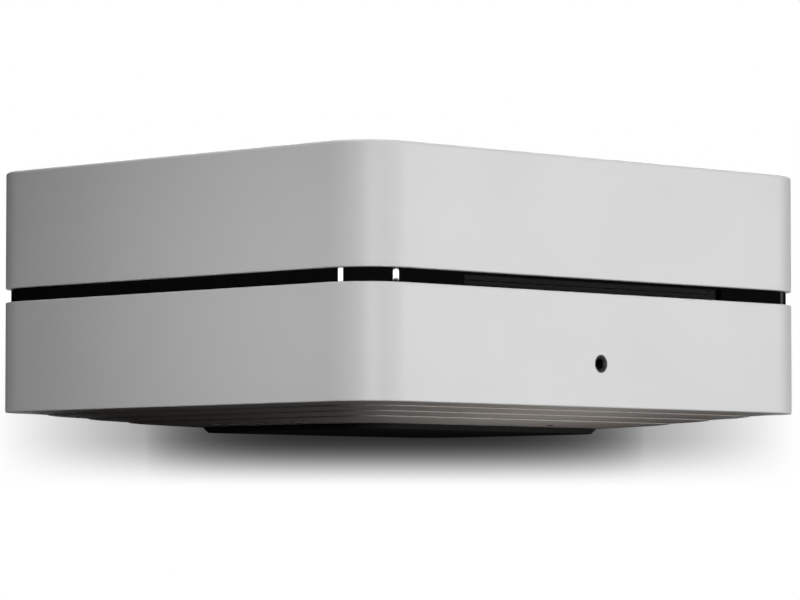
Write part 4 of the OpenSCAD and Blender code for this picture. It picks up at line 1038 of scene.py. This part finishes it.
@dataclass
class RearBay:
    """The phono, network and USB sockets of the rear bay, and softened copies of the bay's plain pieces."""

    phono_count: int = 4
    phono_inner: float = 3.2
    phono_bore: float = 1.65
    collar: float = 4.8
    collar_out: float = 1.5
    collar_seat: float = 3.0
    core_back: float = 1.5
    core_gap: float = 0.05
    groove: float = 0.2
    body_round: Pair = (0.6, 0.3)
    wires: int = 8
    wire_rows: int = 24
    wire_sides: int = 12
    wire_pitch: float = 1.02
    wire_half: Pair = (0.24, 0.13)
    wire_back: float = 12.6
    wire_run: float = 8.2
    wire_top: float = 1.9
    wire_drop: float = 2.2
    wire_bend: float = 1.7
    wire_lift: float = 0.9
    lift_from: float = 0.85
    tube_wall: float = 0.4
    tube_corner: float = 0.9
    tube_core: float = 2.0
    tube_back: float = 2.0
    tongue: Triple = (11.2, 1.8, 12.0)
    tongue_back: float = 1.0
    tongue_gap: float = 0.8
    pads: tuple[float, ...] = (-3.5, -1.0, 1.0, 3.5)
    pad_half: float = 0.55
    pad_run: Pair = (9.0, 2.0)
    pad_rise: Pair = (0.1, 0.05)
    softened: tuple[str, ...] = ("bay_rim", "rear_panel", "network_socket", "optical_socket", "mains_inlet",
                                 "mains_pins")
    soft_width: float = 0.12
    soft_angle: float = 35.0
    soft_merge: float = 1e-6
    soft_flat: float = 0.5

    def phono(self) -> None:
        """Builds the phono sockets: turned barrels round inserts whose collars seat in the panel."""
        low, high = box_mm("rca_barrels")
        body_low, body_high = box_mm("rca_housings")
        radius, length = (high[2] - low[2]) / 2, high[1] - low[1]
        middle = (high[2] + low[2]) / 2
        inner, cut = self.phono_inner, radius - self.groove
        barrel = eased((
            (inner, 0, 0.05), (radius, 0, 0.12), (radius, 1.0, 0.05), (cut, 1.2, 0.05), (cut, 1.8, 0.05),
            (radius, 2.0, 0.05), (radius, length, 0.3), (inner, length, 0.25)), True, 3, 0.02)
        core_end = body_high[1] - low[1]
        seat = -self.collar_out - self.collar_seat
        bottom, thin = seat + self.core_back, self.core_gap
        insert = eased((
            (thin, bottom, 0), (self.phono_bore, bottom, 0), (self.phono_bore, core_end, 0.3),
            (inner - thin, core_end, 0.3), (inner - thin, 0, 0), (self.collar, 0, 0.4),
            (self.collar, seat, 0), (thin, seat, 0)), False, 3, 0.03)
        barrels, inserts = Surface(), Surface()
        panel_back = box_mm("rear_panel")[0][1]
        half = (body_high[0] - high[0]) + radius
        for x in np.linspace(low[0] + radius, high[0] - radius, self.phono_count):
            barrels.turned(barrel, (x, low[1], middle), (0, 1, 0), 64)
            inserts.turned(insert, (x, low[1], middle), (0, 1, 0), 64, closed=False)
            inserts.slab((x - half, body_low[1], body_low[2]), (x + half, panel_back, body_high[2]),
                         *self.body_round, 1)
        barrels.piece("phono_barrels", GOLD_PLATE, "bright_steel", stands_for=["rca_barrels"])
        inserts.piece("phono_inserts", PHONO_INSERT, "dark_plastic", stands_for=["rca_housings"])

    def network(self) -> None:
        """Builds the network socket's wires: an oval section carried along a path that bends down."""
        low, high = box_mm("network_socket")
        middle = (low[0] + high[0]) / 2
        share = np.linspace(0.0, 1.0, self.wire_rows)[:, None]
        angle = np.linspace(0.0, 2 * math.pi, self.wire_sides, endpoint=False)[None, :]
        y = high[1] - self.wire_back + self.wire_run * share
        lifted = np.clip((share - self.lift_from) / (1.0 - self.lift_from), 0.0, 1.0)
        z = high[2] - self.wire_top - self.wire_drop * share ** self.wire_bend + self.wire_lift * lifted ** 2
        wires = Surface()
        for k in range(self.wires):
            x = middle + (k - (self.wires - 1) / 2) * self.wire_pitch + self.wire_half[0] * np.cos(angle)
            grid = np.stack(np.broadcast_arrays(x, y, z + self.wire_half[1] * np.sin(angle)), -1)
            wires.closed(wires.put(grid))
        wires.piece("network_wires", GOLD_PLATE, "bright_steel")

    def usb(self) -> None:
        """Builds the USB socket: a rounded sheet tube with a closed back, its tongue and contacts."""
        low, high = box_mm("usb_socket")
        middle = (low[0] + high[0]) / 2
        front, back, core = high[1], low[1], self.tube_core
        floor = back + self.tube_back
        profile = eased((
            (core, floor, 0), (self.tube_wall, floor, 0.1), (self.tube_wall, front, 0.12),
            (0, front, 0.12), (0, back, 0.1), (core, back, 0)), False, 3, 0.02)
        tube, tongue, pads = Surface(), Surface(), Surface()
        tube.block(low, high, self.tube_corner, profile, 1)
        width, thick, long = self.tongue
        top = high[2] - self.tongue_gap
        under = top - thick
        nose = front - self.tongue_back
        tongue.slab((middle - width / 2, nose - long, under), (middle + width / 2, nose, top), 0.3, 0.15, 1)
        for x in self.pads:
            pad_low = (middle + x - self.pad_half, front - self.pad_run[0], under - self.pad_rise[0])
            pad_high = (middle + x + self.pad_half, front - self.pad_run[1], under + self.pad_rise[1])
            pads.slab(pad_low, pad_high, 0.2, 0.04, 2)
        tube.piece("usb_tube", SHEET_STEEL, "sheet_steel", stands_for=["usb_socket"])
        tongue.piece("usb_tongue", BLACK_PLASTIC, "dark_plastic")
        pads.piece("usb_contacts", GOLD_PLATE, "bright_steel")

    def soften(self) -> None:
        """Copies the bay's plain pieces, merges the copies and rounds their edges."""
        for node in self.softened:
            source = frame["nodes"][node]
            mesh = source.data.copy()
            mesh.transform(source.matrix_world)
            mend(mesh, self.soft_merge, self.soft_flat)
            mesh.materials.clear()
            finish = BRIGHT_STEEL if node == "mains_pins" else BLACK_PLASTIC
            mesh.materials.append(finish.material())
            made = add_object(f"soft_{node}", mesh)
            bevel = made.modifiers.new("eased_edges", "BEVEL")
            bevel.width = self.soft_width * MM
            bevel.segments = 2
            bevel.limit_method = "ANGLE"
            bevel.angle_limit = math.radians(self.soft_angle)
            bevel.harden_normals = True
            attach(made, CASE)
            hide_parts(node)
            LOG.info("soft_%s: %d faces on %s", node, len(mesh.polygons), CASE)


class Dressing:
    """Gives each frame node that stays visible its finish."""

    FINISHES: dict[Finish, tuple[str, ...]] = {
        BLACK_PLASTIC: ("board_chips", "capacitors", "turntable", "lens_holder", "hdd_cable"),
        GREY_PLASTIC: ("optical_shutter", "traverse_deck", "laser_sled"),
        SHEET_STEEL: ("mid_deck", "drive_chassis", "drive_cover", "hdd_bracket", "hdd_cover", "soc_heatsink",
                      "psu_heatsink", "hdd_magnet"),
        BRIGHT_STEEL: ("deck_pillars", "guide_rods", "sled_motor", "roller_shaft", "loading_motor",
                       "hdd_platters", "short_screws"),
        COPPER_WIRE: ("spindle_stator", "psu_transformer", "psu_harness"),
        CREAM_PLASTIC: ("sled_pinion", "sled_motor_gear", "cam_slider", "loading_idler", "loading_motor_gear",
                        "left_lever", "right_lever"),
        CAST_ALLOY: ("hdd_base", "hdd_actuator"),
        GREEN_BOARD: ("touch_board", "main_board", "psu_board", "hdd_board"),
        RUBBER: ("loading_roller", "hdd_grommets"),
        LENS_GLASS: ("objective_lens",),
        AMBER_TAPE: ("drive_ribbon",),
    }

    def apply(self) -> None:
        """Puts each finish on its nodes."""
        for finish, nodes in self.FINISHES.items():
            for node in nodes:
                slots = frame["nodes"][node].data.materials
                slots.clear()
                slots.append(finish.material())
            LOG.info("%s: %d nodes", finish.name, len(nodes))


@dataclass(frozen=True)
class Lamp:
    """A soft box: its middle, the point it faces, its width and height and its power in watts.

    A lamp may give only a part of its light, and may leave out one thing or light one thing alone.
    """

    name: str
    place: Triple
    aim: Triple
    size: Pair
    power: float
    share: Share = Share.WHOLE
    spares: str = ""
    lights: str = ""


LAMPS = (
    Lamp("front_box", (-60, -1000, 380), (0, -96, 45), (600, 300), 3.1),
    Lamp("sheen_box", (790, -990, 110), (0, -96, 45), (400, 300), 6.6, Share.GLINTS, spares="gloss_band"),
    Lamp("level_box", (450, -1000, -75), (0, -90, 20), (500, 100), 1.7),
    Lamp("level_left_box", (150, -1000, -75), (0, -90, 20), (500, 100), 1.8),
    Lamp("left_box", (-330, -72, 40), (-110, -72, 40), (100, 20), 0.232, Share.MATT, spares="floor"),
    Lamp("corner_box", (-400, -500, 44), (-100, -90, 44), (100, 60), 1.0, Share.GLINTS, spares="gloss_band"),
    Lamp("under_near", (-50, -80, -50), (-50, -80, 10), (60, 30), 0.0016),
    Lamp("under_middle", (0, -80, -50), (0, -80, 10), (60, 30), 0.0082),
    Lamp("top_box", (0, 0, 1300), (0, 0, 90), (1200, 1200), 11.0),
    Lamp("far_box", (1000, 980, 500), (20, 20, 45), (900, 400), 18.0),
    Lamp("left_glint", (-957, 216, 103.5), (-108, -82, 47.6), (217, 16), 0.30,
         Share.GLINTS, lights="gloss_band"),
    Lamp("right_glint", (298, -904, 104.1), (-95, -94, 48.2), (267, 4.8), 0.115,
         Share.GLINTS, lights="gloss_band"),
    Lamp("edge_glint", (987, -220, 99.5), (96, -94, 48.5), (240, 20), 0.006,
         Share.GLINTS, lights="gloss_band"),
)


@dataclass
class Studio:
    """Camera, floor, lamps and background."""

    yaw: float = 44.546
    pitch: float = 3.203
    distance: float = 1498.7
    aside: float = 0.28
    height: float = -36.85
    focal: float = 4260.7
    frame_width: float = 800.0
    sensor: float = 36.0
    clip: Pair = (0.05, 50.0)
    floor_half: float = 3000.0
    floor_lines: int = 9
    floor_drop: float = 0.05
    floor_tone: float = 0.88
    fade: Pair = (500.0, 1500.0)
    ambient: float = 0.005
    shade_rise: Pair = (0.0116, 0.0240)
    shade_fall: Pair = (0.030, 0.055)
    shade_middle: float = -0.0012
    wide_shade: Triple = (0.36, 0.0575, 0.0939)
    core_shade: Pair = (0.44, 0.0587)
    core_power: float = 4.0
    shade_tone: float = 2.25

    def ahead(self) -> np.ndarray:
        """Gives the level direction in which the camera looks."""
        angle = math.radians(self.yaw)
        return np.array((math.sin(angle), math.cos(angle), 0.0))

    def camera(self) -> None:
        """Makes the camera: level turn, small upward pitch and a long lens."""
        ahead = self.ahead()
        right = np.array((ahead[1], -ahead[0], 0.0))
        place = -ahead * self.distance - right * self.aside + np.array((0.0, 0.0, self.height))
        data = bpy.data.cameras.new("camera")
        data.sensor_width = self.sensor
        data.lens = self.focal / self.frame_width * self.sensor
        data.clip_start, data.clip_end = self.clip
        made = add_object("camera", data)
        made.location = place * MM
        made.rotation_euler = (math.radians(90.0 + self.pitch), 0.0, -math.radians(self.yaw))
        bpy.context.scene.camera = made

    def floor(self) -> None:
        """Makes the pale floor, which is clear from below."""
        line = np.linspace(-self.floor_half, self.floor_half, self.floor_lines)
        across, along = np.meshgrid(line, line)
        grid = np.stack([across, along, np.full(across.shape, -self.floor_drop)], -1)
        surface = Surface()
        surface.quads(surface.put(grid), ring=False)
        mesh = bpy.data.meshes.new("floor")
        mesh.from_pydata(surface.all_points() * MM, [], surface.faces)
        mesh.materials.append(self.floor_material())
        made = add_object("floor", mesh)

    def floor_material(self) -> bpy.types.Material:
        """Builds the floor's material: matt and pale above, clear below, and fading out into the background.

        Light passes through it from below and it throws none back at the part.

        Returns:
            The material.
        """
        sheet, made = Sheet.material("pale_floor")
        where = sheet.add("TexCoord", {})["Object"]
        far = sheet.add("VectorMath", {0: where}, operation="LENGTH")["Value"]
        seen = sheet.spread(far, 1.0, 0.0, self.fade[0] * MM, self.fade[1] * MM)
        clear = sheet.add("BsdfTransparent", {})[0]
        matt = sheet.add("BsdfDiffuse", {"Color": (*[self.floor_tone] * 3, 1.0)})[0]
        above = sheet.add("MixShader", {0: seen, 1: clear, 2: matt})[0]
        below = sheet.add("NewGeometry", {})["Backfacing"]
        path = sheet.add("LightPath", {})
        light = sheet.math("MAXIMUM", path["Is Shadow Ray"], path["Is Diffuse Ray"])
        passed = sheet.math("MAXIMUM", below, light)
        whole = sheet.add("MixShader", {0: passed, 1: above, 2: clear})[0]
        sheet.feed(sheet.tree.nodes["Material Output"].inputs["Surface"], whole)
        return made

    def lamp(self, lamp: Lamp) -> None:
        """Makes one soft box that the camera doesn't see.

        Args:
            lamp: The lamp's place, size, power and links.
        """
        data = bpy.data.lights.new(lamp.name, "AREA")
        data.shape = "RECTANGLE"
        data.size, data.size_y = lamp.size[0] * MM, lamp.size[1] * MM
        data.energy = lamp.power
        made = add_object(lamp.name, data)
        made.location = np.array(lamp.place) * MM
        direction = Vector(np.subtract(lamp.aim, lamp.place))
        made.rotation_euler = direction.to_track_quat("-Z", "Y").to_euler()
        made.visible_camera = False
        made.visible_diffuse = lamp.share is not Share.GLINTS
        made.visible_glossy = lamp.share is not Share.MATT
        if lamp.spares or lamp.lights:
            linked = bpy.data.collections.new(f"{lamp.name}_link")
            linked.objects.link(bpy.data.objects[lamp.spares or lamp.lights])
            state = "EXCLUDE" if lamp.spares else "INCLUDE"
            linked.collection_objects[0].light_linking.link_state = state
            made.light_linking.receiver_collection = linked

    def background(self) -> None:
        """Makes the white background with a soft shade low behind the object, which lights it only faintly.

        The shade's strength is a flat-topped bump across plus a wider one, times a soft band in elevation.
        """
        world = bpy.data.worlds.new("white")
        world.use_nodes = True
        bpy.context.scene.world = world
        sheet = Sheet(world.node_tree)
        ray = sheet.add("TexCoord", {})["Generated"]
        ahead = self.ahead()
        depth, across, rise = (
            sheet.add("VectorMath", {0: ray, 1: axis}, operation="DOT_PRODUCT")["Value"]
            for axis in (tuple(ahead), (ahead[1], -ahead[0], 0.0), (0.0, 0.0, 1.0)))
        shift = sheet.math("SUBTRACT", sheet.math("DIVIDE", across, depth), self.shade_middle)
        aside = sheet.math("ABSOLUTE", shift)
        height = sheet.math("DIVIDE", rise, depth)
        level, flat, end = self.wide_shade
        wide = sheet.spread(aside, level, 0.0, flat, end)
        power = sheet.math("POWER", sheet.math("DIVIDE", aside, self.core_shade[1]), self.core_power)
        core = sheet.spread(power, self.core_shade[0], 0.0, 0.0, 1.0)
        band = sheet.math("MULTIPLY", sheet.spread(height, 0.0, 1.0, *self.shade_rise, smooth=True),
                          sheet.spread(height, 1.0, 0.0, *self.shade_fall, smooth=True))
        front = sheet.math("MULTIPLY", band, sheet.math("GREATER_THAN", depth))
        shade = sheet.math("MULTIPLY", front, sheet.math("ADD", wide, core))
        white = sheet.math("POWER", sheet.math("SUBTRACT", 1.0, shade), self.shade_tone)
        shown, dim = (sheet.add("Background", {"Color": (1.0, 1.0, 1.0, 1.0), "Strength": strength})[0]
                      for strength in (white, self.ambient))
        path = sheet.add("LightPath", {})["Is Camera Ray"]
        mix = sheet.add("MixShader", {0: path, 1: dim, 2: shown})[0]
        sheet.feed(sheet.tree.nodes["World Output"].inputs["Surface"], mix)
        bpy.context.scene.view_settings.view_transform = "Standard"

    def build(self) -> None:
        """Sets the whole stage."""
        self.camera()
        self.floor()
        for lamp in LAMPS:
            self.lamp(lamp)
        self.background()


def main() -> None:
    """Builds each sub-assembly in order and then the stage."""
    logging.basicConfig(level=logging.INFO, format="%(name)s: %(message)s")
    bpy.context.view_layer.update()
    casing = Casing()
    casing.upper_shell()
    casing.lower_shell()
    casing.band()
    casing.lips()
    underside = Underside()
    underside.base(casing)
    underside.foot()
    sockets = Sockets()
    sockets.front()
    sockets.control()
    bay = RearBay()
    bay.phono()
    bay.network()
    bay.usb()
    bay.soften()
    Dressing().apply()
    Studio().build()


if __name__ == "__main__":
    main()
